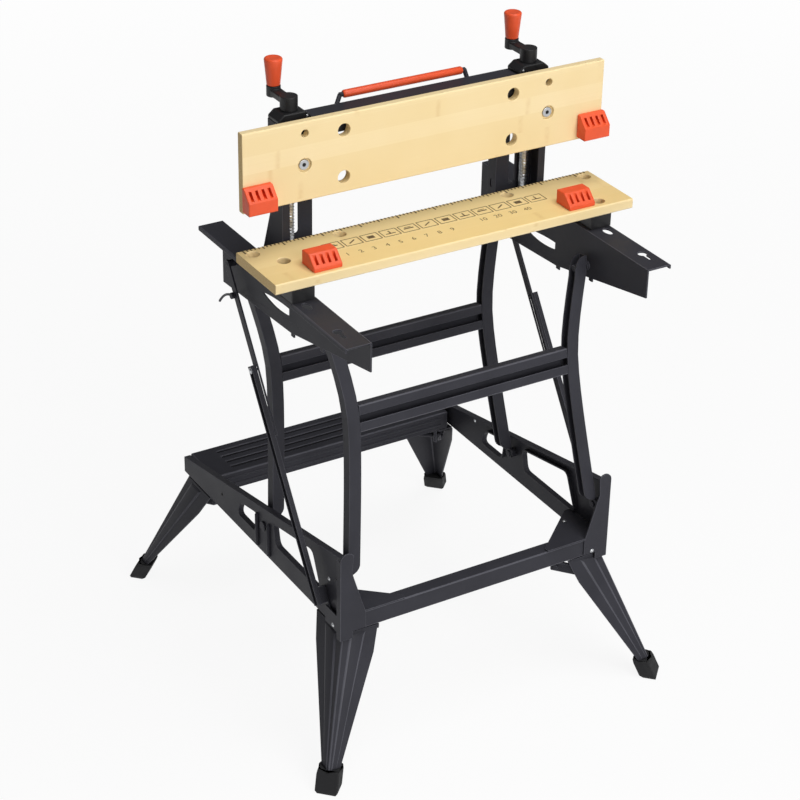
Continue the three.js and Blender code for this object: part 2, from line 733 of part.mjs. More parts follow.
// The lower strut: a flat eye, then a channel that opens outwards, with the sliding pin at its head.
function lowerStrut(side) {
  const half = strutWidth / 2;
  const eyeHalf = half - cut;
  const tabOuter = strutInner + strutTab;
  const channelInner = strutPlane + strutTab + 3 * fit;
  const channelOuter = channelInner + strutDepth;
  const headZ = strutPinAt + half;
  const [neckLow, neckHigh] = strutNeck;
  const eye = new THREE.Shape();
  eye.absarc(0, 0, eyeHalf, Math.PI, 2 * Math.PI);
  eye.lineTo(eyeHalf, neckHigh);
  eye.lineTo(-eyeHalf, neckHigh);
  const channel = block([side * channelInner, side * channelOuter], [-half, half], [neckLow, headZ]).subtract(
    block([side * (channelInner + sheet), side * (channelOuter + cut)], [-half + sheet, half - sheet],
      [neckLow - cut, headZ + cut]));
  const neck = block([side * (tabOuter - sheet), side * (channelInner + sheet / 2)], [-eyeHalf, eyeHalf],
    [neckLow + cut, neckHigh]);
  const pinEnd = [side * (channelOuter + cut), 0, strutPinAt];
  const pin = bar([side * (strutPlane - fit), 0, strutPinAt], pinEnd, strutPin);
  const pinHead = bar([side * (channelInner + sheet / 2), 0, strutPinAt], pinEnd, strutPinHead);
  return join([plate('x', eye, side * strutInner, side * tabOuter), neck, channel, pin, pinHead])
    .subtract(bar([side * (strutInner - cut), 0, 0], [side * (tabOuter + cut), 0, 0], strutPivot + fit));
}

// The upper strut: a flat bar with an eye at the top and a slot for the lower strut's pin.
function upperStrut(side) {
  const half = strutWidth / 2 - fit;
  const pinAtRest = strutPinAt - strutLength;
  const slotTop = pinAtRest + strutSlot + cut;
  const slotBottom = pinAtRest - strutTravel - strutSlot - cut;
  const tail = slotBottom - strutWidth / 2;
  const shape = new THREE.Shape();
  shape.absarc(0, 0, half, 0, Math.PI);
  shape.lineTo(-half, tail);
  shape.lineTo(half, tail);
  const slot = new THREE.Path();
  slot.absarc(0, slotTop - strutSlot, strutSlot, 0, Math.PI);
  slot.absarc(0, slotBottom + strutSlot, strutSlot, Math.PI, 2 * Math.PI);
  const eye = new THREE.Path();
  eye.absarc(0, 0, strutPivot + fit, 0, 2 * Math.PI);
  shape.holes.push(slot, eye);
  return plate('x', shape, side * strutPlane, side * (strutPlane + strutTab));
}

// A wire finger lever that frees the strut's lock, with its boss on the upper strut.
function releaseLever(side) {
  const face = strutPlane + strutTab + fit;
  const [y, z] = releaseReach;
  const x = side * (face + releaseBoss / 2);
  const bend = new THREE.QuadraticBezierCurve3(new THREE.Vector3(x, 0, 0),
    new THREE.Vector3(x, y * 0.55, z * 0.1), new THREE.Vector3(x, y, z));
  const wire = new THREE.Shape();
  wire.absarc(0, 0, releaseWire, 0, 2 * Math.PI);
  const rod = new THREE.ExtrudeGeometry(wire, { steps: 8, extrudePath: bend, curveSegments: 5 });
  return toSolid(rod).add(bar([side * face, 0, 0], [side * (face + releaseBoss), 0, 0], releaseBoss));
}

// Support beams and fixed jaw

// Height of a beam web's lower edge: it slopes down to the belly, then runs on to the rear.
function beamLowerEdge(y) {
  const toBelly = (y - beamFront) / (beamBelly - beamFront);
  const toRear = (y - beamBelly) / (beamRear - beamBelly);
  const depth = y < beamBelly
    ? THREE.MathUtils.lerp(beamFrontDepth, beamDepth, toBelly)
    : THREE.MathUtils.lerp(beamDepth, beamRearDepth, toRear);
  return beamTop - depth;
}

// The curved opening in a beam's web.
function beamLens() {
  const top = beamTop - lensDrop;
  const middle = (lensFront + lensRear) / 2;
  const lens = new THREE.Path();
  lens.moveTo(lensFront, top - lensHeight);
  lens.quadraticCurveTo(middle, top - 1.8 * lensHeight, lensRear, top - 0.75 * lensHeight);
  lens.quadraticCurveTo(middle, top, lensFront, top);
  lens.closePath();
  return lens;
}

// A support beam: an angle whose flange turns outwards, with a deep web behind, slots and pivot studs.
function supportBeam(side) {
  const web = outline([
    ...[beamFront, beamBelly, beamRear].map((y) => [y, beamLowerEdge(y)]),
    [beamRear, beamTop], [beamFront, beamTop],
  ]);
  web.holes.push(beamLens());
  const flange = outline([
    [side * beamWebInner, beamFront], [side * beamFlangeOuter, beamFront],
    [side * beamFlangeOuter, beamRear], [side * beamWebInner, beamRear],
  ]);
  const slotX = side * (beamFlangeOuter - slotInset);
  const [neckLength, neckWidth] = keyholeNeck;
  const keyhole = new THREE.Path();
  keyhole.absarc(slotX, keyholeY, keyholeRadius, 0, 2 * Math.PI);
  const oval = new THREE.Path();
  oval.absellipse(slotX, ovalY, ...ovalRadii, 0, 2 * Math.PI);
  flange.holes.push(keyhole, oval);
  const webSpan = [side * beamWebInner, side * beamWebOuter];
  const hooks = beamHooks.map((y) => block(webSpan, [y - hookWidth / 2, y + hookWidth / 2],
    [beamLowerEdge(y) - hookDrop, beamLowerEdge(y) + hookWidth]));
  const body = join([
    plate('x', web, ...webSpan),
    plate('z', flange, beamTop - sheet, beamTop),
    block([side * (beamFlangeOuter - sheet), side * beamFlangeOuter], [beamFront, beamRear],
      [beamTop - beamLip, beamTop]),
    ...hooks,
  ]);
  const neck = block([slotX - neckWidth / 2, slotX + neckWidth / 2], [keyholeY - neckLength, keyholeY],
    [beamTop - sheet - cut, beamTop + cut]);
  const stud = (from, to, [y, z], radius) => bar([side * from, y, z], [side * to, y, z], radius);
  const linkStuds = Object.values(lowerPivots).map(([y, z]) => (
    join([
      stud(uprightHeadOuter - uprightWidth, beamWebOuter, [y + linkShift, z + linkRise], pivotRadius),
      stud(uprightHeadOuter + fit, beamWebOuter, [y + linkShift, z + linkRise], pivotShoulder),
    ])));
  const strutTop = [strutTopY, strutTopZ];
  const viseAxis = [viseAxisY, viseAxisZ];
  return join([
    body.subtract(neck), ...linkStuds,
    stud(beamWebInner, strutPlane + strutTab + fit, strutTop, strutPivot),
    stud(beamWebInner, strutPlane - fit, strutTop, strutShoulder),
    stud(postOuter - sheet - postEar / 3, beamWebOuter, viseAxis, pivotRadius),
    stud(postOuter + fit, beamWebOuter, viseAxis, pivotShoulder),
  ]);
}

// A saddle that holds the fixed jaw above a beam: a shallow tray, open below.
function jawSupport(side) {
  const low = beamTop + fit;
  const high = fixedJawBottom - fit;
  const inner = beamWebOuter + sheet;
  const outer = beamFlangeOuter;
  const front = fixedJawFront + saddleInset;
  const rear = fixedJawBack - saddleInset;
  const hollow = block([side * (inner + saddleWall), side * (outer - saddleWall)],
    [front + saddleWall, rear - saddleWall], [low - cut, high - saddleWall]);
  return block([side * inner, side * outer], [front, rear], [low, high]).subtract(hollow);
}

// A bamboo board lying flat with its corner at the origin, with eased long edges and round holes;
// a hole is its place along and across the board, its diameter and where its floor is.
function board(thickness, holes) {
  const half = jawLength / 2;
  const c = jawChamfer;
  const section = outline([
    [c, 0], [jawWidth - c, 0], [jawWidth, c], [jawWidth, thickness - c], [jawWidth - c, thickness],
    [c, thickness], [0, thickness - c], [0, c],
  ]);
  const drills = holes.map(([x, y, across, floor = -cut]) => (
    bar([x, y, floor], [x, y, thickness + cut], across / 2, fineSteps)));
  return plate('x', section, -half, half).subtract(join(drills));
}

function mirroredHole([x, ...rest]) {
  return [[-x, ...rest], [x, ...rest]];
}

const fixedHoles = [
  ...backHoleX.flatMap((x) => mirroredHole([x, jawWidth - backHoleInset, dogHole])),
  ...mirroredHole([fixedPegX, fixedPegY - fixedJawFront, dogHole]),
  ...[leftSpareHole, rightSpareHole].map(([x, inset]) => [x, jawWidth - inset, dogHole]),
];
const movingHoles = [
  ...movingHoleRises.map((rise) => [movingHoleX, rise, dogHole]),
  [smallHoleX, smallHoleRise, smallHole],
  [movingPegX, movingPegRise, dogHole],
  [jawBoltX, jawBoltRise, 2 * (jawBoltShank + fit)],
  [jawBoltX, jawBoltRise, 2 * boltRecess, movingJawThickness - boltRecessDepth],
].flatMap(mirroredHole);

// Vise

// A vise post: a slotted plate with a flange turned back along its inner edge, an outer plate that runs
// forwards and down to an ear for the tilt pivot, and a shelf for the screw.
function visePost(side) {
  const [frontWaist, rearWaist] = postWaist;
  const outerPlate = new THREE.Shape();
  outerPlate.moveTo(postFront, postTop);
  outerPlate.lineTo(postFront, viseAxisZ + frontWaist);
  outerPlate.lineTo(viseAxisY - postEar, viseAxisZ - postEar + pivotRadius);
  outerPlate.absarc(viseAxisY, viseAxisZ, postEar, 1.25 * Math.PI, 2.2 * Math.PI);
  outerPlate.lineTo(postRear, viseAxisZ + rearWaist);
  outerPlate.lineTo(postRear, postTop);
  const height = [postShelf, postTop];
  const width = [side * postInner, side * postOuter];
  const body = join([
    plate('x', outerPlate, side * (postOuter - sheet), side * postOuter),
    block(width, [postRear - sheet, postRear], height),
    block([side * postInner, side * (postInner + sheet)], [postRear - sheet, postFlangeRear], height),
    block([side * (postOuter - postLip), side * postOuter], [postFront, postFront + sheet], height),
    block(width, [postShelfFront, postRear], [postShelf, postShelf + sheet]),
  ]);
  const slotMiddle = postInner + postSlotInset;
  const slotSides = [slotMiddle - postSlot / 2, slotMiddle + postSlot / 2].map((x) => side * x);
  const [slotFoot, slotHead] = [postShelf + postSlotEnds[0], postTop - postSlotEnds[1]];
  const slot = roundedOutline([
    [slotFoot, slotSides[0]], [slotHead, slotSides[0]], [slotHead, slotSides[1]], [slotFoot, slotSides[1]],
  ], 0.49 * postSlot);
  const pivot = bar([side * (postOuter - sheet - cut), viseAxisY, viseAxisZ],
    [side * (postOuter + cut), viseAxisY, viseAxisZ], pivotRadius + fit);
  const eye = new THREE.Shape();
  eye.absellipse((postRear + postFlangeRear) / 2, beamTop + postEyeRise, ...postEye, 0, 2 * Math.PI);
  return body.subtract(join([
    plate('y', slot, postRear - sheet - cut, postRear + cut), pivot,
    plate('x', eye, side * (postInner - cut), side * (postInner + sheet + cut)),
  ]));
}

const handleEnd = handleHalf + handleSplay;
const lugSpan = [handleEnd + handleBoss + fit, handleEnd + 2 * handleBoss];

// The bar across the tops of the posts: a channel turned down, bored for the screws, with a lug and a
// pin behind each end of the carrying handle.
function viseTopBar() {
  const shell = block([-barHalf, barHalf], [barFront, barRear], [barBottom, barTop]).subtract(
    block([-barHalf + sheet, barHalf - sheet], [barFront + sheet, barRear - sheet],
      [barBottom - cut, barTop - sheet]));
  const bores = sides.map(([, side]) => bar([side * screwX, screwY, barBottom],
    [side * screwX, screwY, barTop + cut], screwRadius + fit, fineSteps));
  const lugs = sides.map(([, side]) => join([
    block(lugSpan.map((x) => side * x), [barRear - sheet / 2, handleY + handleRod],
      [handleFootZ - handleBoss, handleFootZ + handleBoss]),
    bar([side * (handleEnd - handleBoss), handleY, handleFootZ],
      [side * (lugSpan[0] + cut), handleY, handleFootZ], handlePin),
  ]));
  return join([shell.subtract(join(bores)), ...lugs]);
}

// A bearing block under a crank, with sloping shoulders.
function screwBearing(side) {
  const low = barTop + fit;
  const [shoulderHalf, endHeight] = bearingShoulder;
  const profile = outline([
    [low, screwX - bearingInner], [low, barHalf], [low + endHeight, barHalf],
    [bearingTop, screwX + shoulderHalf], [bearingTop, screwX - shoulderHalf],
    [low + endHeight, screwX - bearingInner],
  ].map(([z, x]) => [z, side * x]));
  const bore = bar([side * screwX, screwY, low - cut], [side * screwX, screwY, bearingTop + cut],
    screwRadius + fit, fineSteps);
  return plate('y', profile, screwY - bearingFront, screwY + bearingRear).subtract(bore);
}

// A vise screw: a rod, pointed a little at the foot, that the slider block travels along.
function viseScrew(side) {
  const low = postShelf + sheet + fit;
  const [pointInset, pointHeight] = screwPoint;
  return turned([
    [0, low], [screwRadius - pointInset, low], [screwRadius, low + pointHeight],
    [screwRadius, crankArmBottom], [0, crankArmBottom],
  ], [side * screwX, screwY, 0]);
}

// A crank: a boss over the screw, a lower arm to the rear and a round end with a pin for the knob.
function crank() {
  const low = bearingTop + fit;
  const socket = bar([0, 0, low - cut], [0, 0, crankArmBottom + fit], screwRadius + fit, fineSteps);
  const solid = join([
    block([-crankArmHalf, crankArmHalf], [0, crankArm], [crankArmBottom, crankTop - crankArmDip]),
    bar([0, 0, low], [0, 0, crankTop], crankBoss, fineSteps),
    bar([0, crankArm, crankTop - crankEndHeight], [0, crankArm, crankTop], crankEnd, fineSteps),
    bar([0, crankArm, crankTop - cut], [0, crankArm, crankTop + knobHeight - knobPinTip], knobPin),
  ]);
  return solid.subtract(socket);
}

// A crank knob: a taper that is wider at the top, bored from below for its pin.
function crankKnob() {
  const bore = knobPin + fit;
  const boreTop = knobHeight - knobPinTip + cut;
  const soft = 0.3 * knobRound;
  return turned([
    [bore, 0], [knobFoot - soft, 0], [knobFoot, soft], [knobTop, knobHeight - knobRound],
    [knobTop - soft, knobHeight - soft], [knobTop - knobRound, knobHeight], [0, knobHeight],
    [0, boreTop], [bore, boreTop], [bore, 0],
  ], [0, 0, 0]);
}

// The carrying handle's bail, drawn about its pivots: two splayed arms, each with an eye, and a rod.
function handleBail() {
  const arms = sides.map(([, side]) => join([
    bar([side * handleEnd, 0, 0], [side * handleHalf, 0, handleRise], handleRod),
    bar([side * (handleEnd - handleBoss), 0, 0], [side * (handleEnd + handleBoss), 0, 0], handleBoss),
  ]));
  const rod = bar([-handleHalf - cut, 0, handleRise], [handleHalf + cut, 0, handleRise], handleRod);
  const bores = sides.map(([, side]) => bar([side * (handleEnd - 2 * handleBoss), 0, 0],
    [side * (handleEnd + 2 * handleBoss), 0, 0], handlePin + fit));
  return join([...arms, rod]).subtract(join(bores));
}

// The handle's grip: a sleeve round the bail's rod.
function handleGrip() {
  const half = handleHalf - handleRod - cut;
  return bar([-half, 0, handleRise], [half, 0, handleRise], gripRadius)
    .subtract(bar([-half - cut, 0, handleRise], [half + cut, 0, handleRise], handleRod + fit));
}

// A slider block behind the moving jaw, threaded on the screw, with the bolt that holds the jaw to it.
function jawSlider(side) {
  const low = jawBoltZ - sliderHeight / 2;
  const high = jawBoltZ + sliderHeight / 2;
  const front = movingJawBack + fit;
  const outer = postOuter - postLip - 3 * fit;
  const body = block([side * (postInner + sliderInner), side * outer], [front, screwY + sliderBehind],
    [low, high]).subtract(bar([side * screwX, screwY, low - cut], [side * screwX, screwY, high + cut],
    screwRadius + fit, fineSteps));
  const along = (y) => [side * jawBoltX, y, jawBoltZ];
  const headBack = movingJawFront + boltRecessDepth - fit;
  const shank = bar(along(headBack - cut), along(front + cut), jawBoltShank);
  const head = bar(along(movingJawFront + jawBoltSink), along(headBack), jawBoltHead, fineSteps);
  return join([body, shank, head]);
}

// Pegs

// A peg: a block with a sloping, slotted face and a round stem, drawn with the stem along -Z.
function peg(stemLength) {
  const half = pegLength / 2;
  const slopeTop = -half + pegFlat;
  const profile = outline([
    [-half, fit], [half, fit], [half, pegLow], [slopeTop, pegHeight],
    [-half + pegEdge, pegHeight], [-half, pegHeight - pegEdge],
  ]);
  const body = plate('x', profile, -pegWidth / 2, pegWidth / 2);
  const pitch = pegWidth / (pegSlots + 0.6);
  const slots = Array.from({ length: pegSlots }, (_, i) => {
    const x = (i - (pegSlots - 1) / 2) * pitch;
    return block([x - pegSlotWidth / 2, x + pegSlotWidth / 2],
      [slopeTop + pegSlotEnds[0], half - pegSlotEnds[1]], [pegLow - pegEdge, pegHeight + cut]);
  });
  const stem = bar([0, 0, -stemLength], [0, 0, pegLow / 2], dogHole / 2 - fit, fineSteps);
  return body.subtract(join(slots)).add(stem);
}

// Assembly
const workbench = new THREE.Group();

const base = new THREE.Group();
sides.forEach(([name, side]) => {
  addPiece(base, `side_rail_${name}`, sideRail(side), 'steel');
  addPiece(base, `corner_bracket_${name}`, cornerBracket(side), 'steel');
});
addPiece(base, 'step_plate', stepPlate(), 'steel');
addPiece(base, 'front_cross_rail', frontCrossRail(), 'steel');
corners.forEach(([name, sx, sy]) => {
  addPiece(base, `leg_hinge_${name}`, legHingePlate(sx, sy), 'steel');
  addPiece(base, `leg_${name}`, leg(sx, sy), 'steel');
  addPiece(base, `foot_${name}`, foot(sx, sy), 'rubber');
});
workbench.add(base);

ends.forEach(([end]) => {
  const frame = new THREE.Group();
  const [y, z] = lowerPivots[end];
  frame.position.set(0, y, z);
  frame.rotation.x = -linkLean;
  sides.forEach(([name, side]) => {
    addPiece(frame, `upright_${end}_${name}`, upright(side), 'steel');
    addPiece(base, `pivot_pin_${end}_${name}`, pivotPin(side, [y, z]), 'steel');
  });
  addPiece(frame, `frame_rail_${end}`, frameRail(), 'steel');
  workbench.add(frame);
});

sides.forEach(([name, side]) => {
  const lower = addPiece(workbench, `strut_lower_${name}`, lowerStrut(side), 'steel');
  lower.position.set(0, strutFootY, strutFootZ);
  lower.rotation.x = -strutLean;
  const upper = addPiece(workbench, `strut_upper_${name}`, upperStrut(side), 'steel');
  upper.position.set(0, strutTopY, strutTopZ);
  upper.rotation.x = -strutLean;
  const lever = addPiece(workbench, `strut_release_${name}`, releaseLever(side), 'steel');
  lever.position.set(0, strutTopY + releaseAt[0], strutTopZ + releaseAt[1]);
});

const top = new THREE.Group();
sides.forEach(([name, side]) => {
  addPiece(top, `support_beam_${name}`, supportBeam(side), 'steel');
  addPiece(top, `jaw_support_${name}`, jawSupport(side), 'blackPlastic');
  const fixedPeg = addPiece(top, `peg_fixed_${name}`, peg(fixedJawThickness), 'orange');
  fixedPeg.position.set(side * fixedPegX, fixedPegY, workHeight);
  fixedPeg.rotation.z = Math.PI;
});
const fixedJaw = addPiece(top, 'fixed_jaw', board(fixedJawThickness, fixedHoles), 'bamboo');
fixedJaw.position.set(0, fixedJawFront, fixedJawBottom);
workbench.add(top);

const vise = new THREE.Group();
sides.forEach(([name, side]) => {
  addPiece(vise, `vise_post_${name}`, visePost(side), 'steel');
  addPiece(vise, `screw_bearing_${name}`, screwBearing(side), 'blackPlastic');
  addPiece(vise, `vise_screw_${name}`, viseScrew(side), 'plated');
  addPiece(vise, `jaw_slider_${name}`, jawSlider(side), 'plated');
  const arm = addPiece(vise, `crank_${name}`, crank(), 'blackPlastic');
  arm.position.set(side * screwX, screwY, 0);
  const knob = addPiece(vise, `crank_knob_${name}`, crankKnob(), 'orange');
  knob.position.set(side * screwX, screwY + crankArm, crankTop + fit);
  const movingPeg = addPiece(vise, `peg_moving_${name}`, peg(movingJawThickness), 'orange');
  movingPeg.position.set(side * movingPegX, movingJawFront, movingPegZ);
  movingPeg.rotation.x = Math.PI / 2;
});
addPiece(vise, 'vise_top_bar', viseTopBar(), 'steel');
const bail = addPiece(vise, 'carry_handle_bail', handleBail(), 'steel');
const grip = addPiece(vise, 'carry_handle_grip', handleGrip(), 'orange');
[bail, grip].forEach((piece) => piece.position.set(0, handleY, handleFootZ));
const movingJaw = addPiece(vise, 'moving_jaw', board(movingJawThickness, movingHoles), 'bamboo');
movingJaw.position.set(0, movingJawBack, movingJawBottom);
movingJaw.rotation.x = Math.PI / 2;
workbench.add(vise);

export default workbench;
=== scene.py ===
"""Dual-height folding workbench: finishes and fine detail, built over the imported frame.

Laid out as an add-on and run as a script. Everything is in metres, in the frame's own axes:
+X along the jaws, +Y towards the step, +Z up, with the floor at zero.
"""

import json
import math

import bmesh
import bpy
from mathutils import Matrix, Vector
from mathutils.bvhtree import BVHTree

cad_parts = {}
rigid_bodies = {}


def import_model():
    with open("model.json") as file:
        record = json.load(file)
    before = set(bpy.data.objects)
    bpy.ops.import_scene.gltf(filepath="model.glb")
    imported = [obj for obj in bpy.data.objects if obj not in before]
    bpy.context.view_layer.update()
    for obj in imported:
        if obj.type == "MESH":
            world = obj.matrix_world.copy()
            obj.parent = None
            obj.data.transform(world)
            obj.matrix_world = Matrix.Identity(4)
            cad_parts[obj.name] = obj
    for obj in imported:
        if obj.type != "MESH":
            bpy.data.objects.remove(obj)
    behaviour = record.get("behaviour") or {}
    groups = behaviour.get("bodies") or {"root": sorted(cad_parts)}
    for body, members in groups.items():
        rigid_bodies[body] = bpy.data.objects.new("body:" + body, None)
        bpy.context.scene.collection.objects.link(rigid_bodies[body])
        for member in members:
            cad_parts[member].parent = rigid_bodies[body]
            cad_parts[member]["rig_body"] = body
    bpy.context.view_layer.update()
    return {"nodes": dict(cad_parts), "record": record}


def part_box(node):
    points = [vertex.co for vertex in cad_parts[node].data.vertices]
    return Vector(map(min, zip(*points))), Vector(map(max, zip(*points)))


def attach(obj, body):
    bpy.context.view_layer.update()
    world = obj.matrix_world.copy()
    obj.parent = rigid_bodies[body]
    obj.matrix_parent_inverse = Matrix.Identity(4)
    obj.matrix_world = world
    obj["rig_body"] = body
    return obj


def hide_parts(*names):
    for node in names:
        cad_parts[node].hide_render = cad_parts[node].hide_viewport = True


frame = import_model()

bl_info = {
    "name": "Folding workbench",
    "version": (1, 0, 0),
    "blender": (4, 5, 0),
    "location": "3D View > Sidebar > Workbench",
    "description": "Builds the finished folding workbench over its frame",
    "category": "Object",
}

NODES = frame["nodes"]
MM = 0.001
SIDES = (("left", -1), ("right", 1))
ENDS = ("front", "rear")
CORNERS = tuple((f"{end}_{side}", sx, sy) for end, sy in zip(ENDS, (-1, 1)) for side, sx in SIDES)
UP = Vector((0, 0, 1))
REARWARD = Vector((0, 1, 0))
MERGE = 1e-6
SLACK = 0.1 * MM
FLAT = math.radians(0.4)
SHARP = math.radians(32)
# Slots of a piece's finishes besides the first, their count, and the one that copies a neighbour's
EDGE_SLOT = 1
MARKED_SLOT = 2
FINISH_SLOTS = 3
SAME_SLOT = -1
# Least part of a normal along an axis, for a face that squarely or roughly faces that way
FACING = 0.9
OUTWARD = 0.6

# Rounding: shares of the wished radius, each with the area that faces may fold over themselves
FOLDED_OVER = 3 * MM**2
ROUND_SHARES = ((1.0, FOLDED_OVER), (0.6, FOLDED_OVER), (0.3, FOLDED_OVER), (0.3, 20 * MM**2),
                (0.1, FOLDED_OVER))
# Whole flat faces or triangles, with or without sliding corners
ROUND_WAYS = ((True, True), (True, False), (False, True), (False, False))
# Area and volume of a rounded shape, as shares of the plain one's
AREA_KEPT = (0.93, 1.003)
VOLUME_KEPT = (0.975, 1.001)

# A flat face broader than this is the face of a steel sheet, a narrower one its cut edge
SHEET_BREADTH = 4.2 * MM
BRACKET_FOLD = 0.9 * MM
STRUT_FOLD = 0.8 * MM
# The same breadth for moulded pieces, and the radius of their finer edges
FOOT_EDGES = (5 * MM, 0.6 * MM)
SADDLE_EDGES = (4 * MM, 0.6 * MM)
CRANK_EDGES = (3 * MM, 0.8 * MM)
PEG_EDGES = (3.9 * MM, 0.5 * MM)

# Bamboo: strips, plies, fibres and the marks where the cane's nodes were
STRIP = 27 * MM
PLY = 5.4 * MM
FIBRE_LENGTH = 200 * MM
FIBRE_WIDTH = 1.1 * MM
NODE_SPACING = 420 * MM
NODE_MARK = 7 * MM

# Pressed ribs, grooves and panels
RIB_PLACES = (-31 * MM, 8 * MM)
RIB_FOOT = 226 * MM
RIB_HEAD = 288 * MM
STEP_RIB_SHARES = (0.3, 0.68)
STEP_RIB_INSET = 12 * MM
STEP_RIB_SUNK = 0.6 * MM
GROOVE_DEPTHS = (0.5 * MM, 4 * MM)
PANEL_ACROSS = (0.2, 0.68)
PANEL_ALONG = (0.06, 0.985)
PANEL_SUNK = 0.6 * MM
PANEL_FACE_TALL = 120 * MM
PANEL_FACE_AREA = 4000 * MM**2

# Prints on the fixed jaw
INK_DEPTH = 0.12 * MM
RULER_INSET = 9 * MM
RULER_EDGE = 1.3 * MM
# Rows of numbers: values, first place along X, pitch, place along Y
NUMBER_ROWS = (
    (range(1, 10), -168 * MM, 22 * MM, -153 * MM),
    (range(10, 50, 10), 66 * MM, 26 * MM, -146 * MM),
)
MARK_ROW = (-174 * MM, 176 * MM)
MARK_COUNT = 12
MARK_Y = -119 * MM
MARK_SIZE = (27 * MM, 21 * MM)

# Turned pieces
SCREW_CLEAR = 2 * MM
THREAD_INSET = 2.5 * MM
GRIP_RADIUS = 6 * MM
# Distance from the grip's end and share of its radius
GRIP_ENDS = ((0.0, 0.72), (1.2 * MM, 0.92), (3 * MM, 1.0))
KNOB_FOOT = 10 * MM
KNOB_FOOT_EDGE = 1.5 * MM
KNOB_RIM = 3 * MM
KNOB_BORE = 4.3 * MM
KNOB_CROWN = 7 * MM
HEAD_SIDES = 20
SCREW_SIDES = 40
KNOB_SIDES = 56
GRIP_SIDES = 28
BEAD_SIDES = 12

# Heads and holes: places in millimetres, read from the photograph
BRACKET_SIDE_HEAD = (-247, 230)
GUSSET_HEAD = (202, -208, 300)
RAIL_SIDE_HEAD = (-223, 297)
BRACKET_FRONT_HEAD = (215, -300, 229)
RAIL_HEAD = (111, 271)
RAIL_HOLE = (134, 252)
STRUT_PIN = (-18.3, 559.7)
STRUT_PIN_SUNK = 0.9
BEARING_HEAD = (183, 972)
JAW_BOLT_X = 206.5
# Where lines that look for a surface start, outside and inside the bench
OUTSIDE = 300
INSIDE = 200
# Sizes of smaller heads and holes, as shares of a full rivet head
BASE_HEAD = 0.7
BEARING_HEAD_SHARE = 0.45
SOCKET_SHARE = 0.6

# The photograph's view: turns in degrees, place in metres, focal length in pixels of the square image
VIEW_AZIMUTH = -31.25
VIEW_ELEVATION = 29.45
VIEW_ROLL = 1.12
VIEW_PLACE = (-1.59666, -2.65836, 2.18080)
VIEW_FOCAL = 2238.85
VIEW_PIXELS = 800
SENSOR = 36.0

# Stage, in metres and watts; a lamp has its place, width and power
WHITE = (1, 1, 1, 1)
FLOOR_HALF = 9.0
FLOOR_WHITE = 0.9
FLOOR_FADE = (0.8, 4.0)
WORLD_LEVEL = 0.15
LAMPS = {
    "front_lamp": ((0.4, -4.6, 2.2), 3.0, 120),
    "side_lamp": ((-4.4, -0.6, 2.6), 2.8, 4),
    "top_lamp": ((0.5, -1.3, 4.6), 3.0, 114),
}
LAMP_AIM = Vector((0, 0, 0.55))


def linear(hex_colour):
    """An sRGB hex colour as linear red, green, blue and alpha."""
    channels = [int(hex_colour[i:i + 2], 16) / 255 for i in (0, 2, 4)]
    lit = [c / 12.92 if c <= 0.04045 else ((c + 0.055) / 1.055) ** 2.4 for c in channels]
    return (*lit, 1.0)


def length(label, about, millimetres):
    """A length that a user can set, given in millimetres."""
    return bpy.props.FloatProperty(name=label, description=about, default=millimetres * MM,
                                   min=0.0, unit="LENGTH", precision=5)


def colour(label, about, hex_colour):
    """A colour that a user can set, given as sRGB hex."""
    return bpy.props.FloatVectorProperty(name=label, description=about, default=linear(hex_colour),
                                         size=4, min=0.0, max=1.0, subtype="COLOR")


class WorkbenchSizes(bpy.types.PropertyGroup):
    """Sizes of the fine detail."""

    fold: length("Fold radius", "Outer radius where the steel sheet is folded", 2.0)
    rim: length("Cut edge radius", "Rounding of a cut edge of the steel sheet", 0.5)
    moulded: length("Moulded radius", "Rounding of moulded plastic edges", 1.6)
    rubber: length("Rubber radius", "Rounding of the rubber feet", 3.2)
    wood: length("Wood radius", "Easing of the bamboo edges", 0.7)
    rib: length("Rib radius", "Radius of the pressed ribs on the rails", 3.4)
    step_rib: length("Step rib radius", "Radius of the pressed ribs along the step", 2.4)
    press: length("Press height", "How far a pressed rib or panel stands off its sheet", 1.4)
    rivet: length("Rivet head radius", "Radius of a rivet head", 5.0)
    thread: length("Thread height", "How far the screw thread stands off its core", 0.9)
    thread_lead: length("Thread lead", "Travel of the jaw for one turn of the screw", 10.0)
    tick_pitch: length("Tick pitch", "Spacing of the printed ruler, a quarter inch", 6.35)
    tick_width: length("Tick width", "Width of a ruler tick", 2.3)
    tick_length: length("Tick length", "Length of a short tick", 5.2)
    line: length("Line width", "Width of a fine printed line", 1.5)
    number: length("Number height", "Height of the printed numbers", 13.0)


class WorkbenchColours(bpy.types.PropertyGroup):
    """Colours of the finishes."""

    steel: colour("Powder coat", "Charcoal paint on the steel", "37373d")
    # Lighter paint on folds and edges: partly wear from handling, partly a painted highlight
    steel_edge: colour("Rubbed paint", "Paint on folds and edges, polished by handling", "54545b")
    zinc: colour("Zinc plate", "Bolts, pins and screws", "c3c5c8")
    bamboo: colour("Bamboo", "Lacquered bamboo strips", "f7e2b4")
    bamboo_dark: colour("Bamboo, dark strip", "The darker of the bamboo strips", "efd6a0")
    bamboo_node: colour("Bamboo node", "Node marks and end grain", "d8b478")
    orange: colour("Orange", "Moulded pegs, knobs and grip", "e9572e")
    black: colour("Black plastic", "Cranks, bearings and saddles", "1c1c1e")
    rubber: colour("Rubber", "Feet", "202022")
    ink: colour("Ink", "Printed marks on the jaw", "3a2f22")


def sizes():
    """The sizes set on the scene."""
    return bpy.context.scene.workbench_sizes


def colours():
    """The colours set on the scene."""
    return bpy.context.scene.workbench_colours


# Node trees


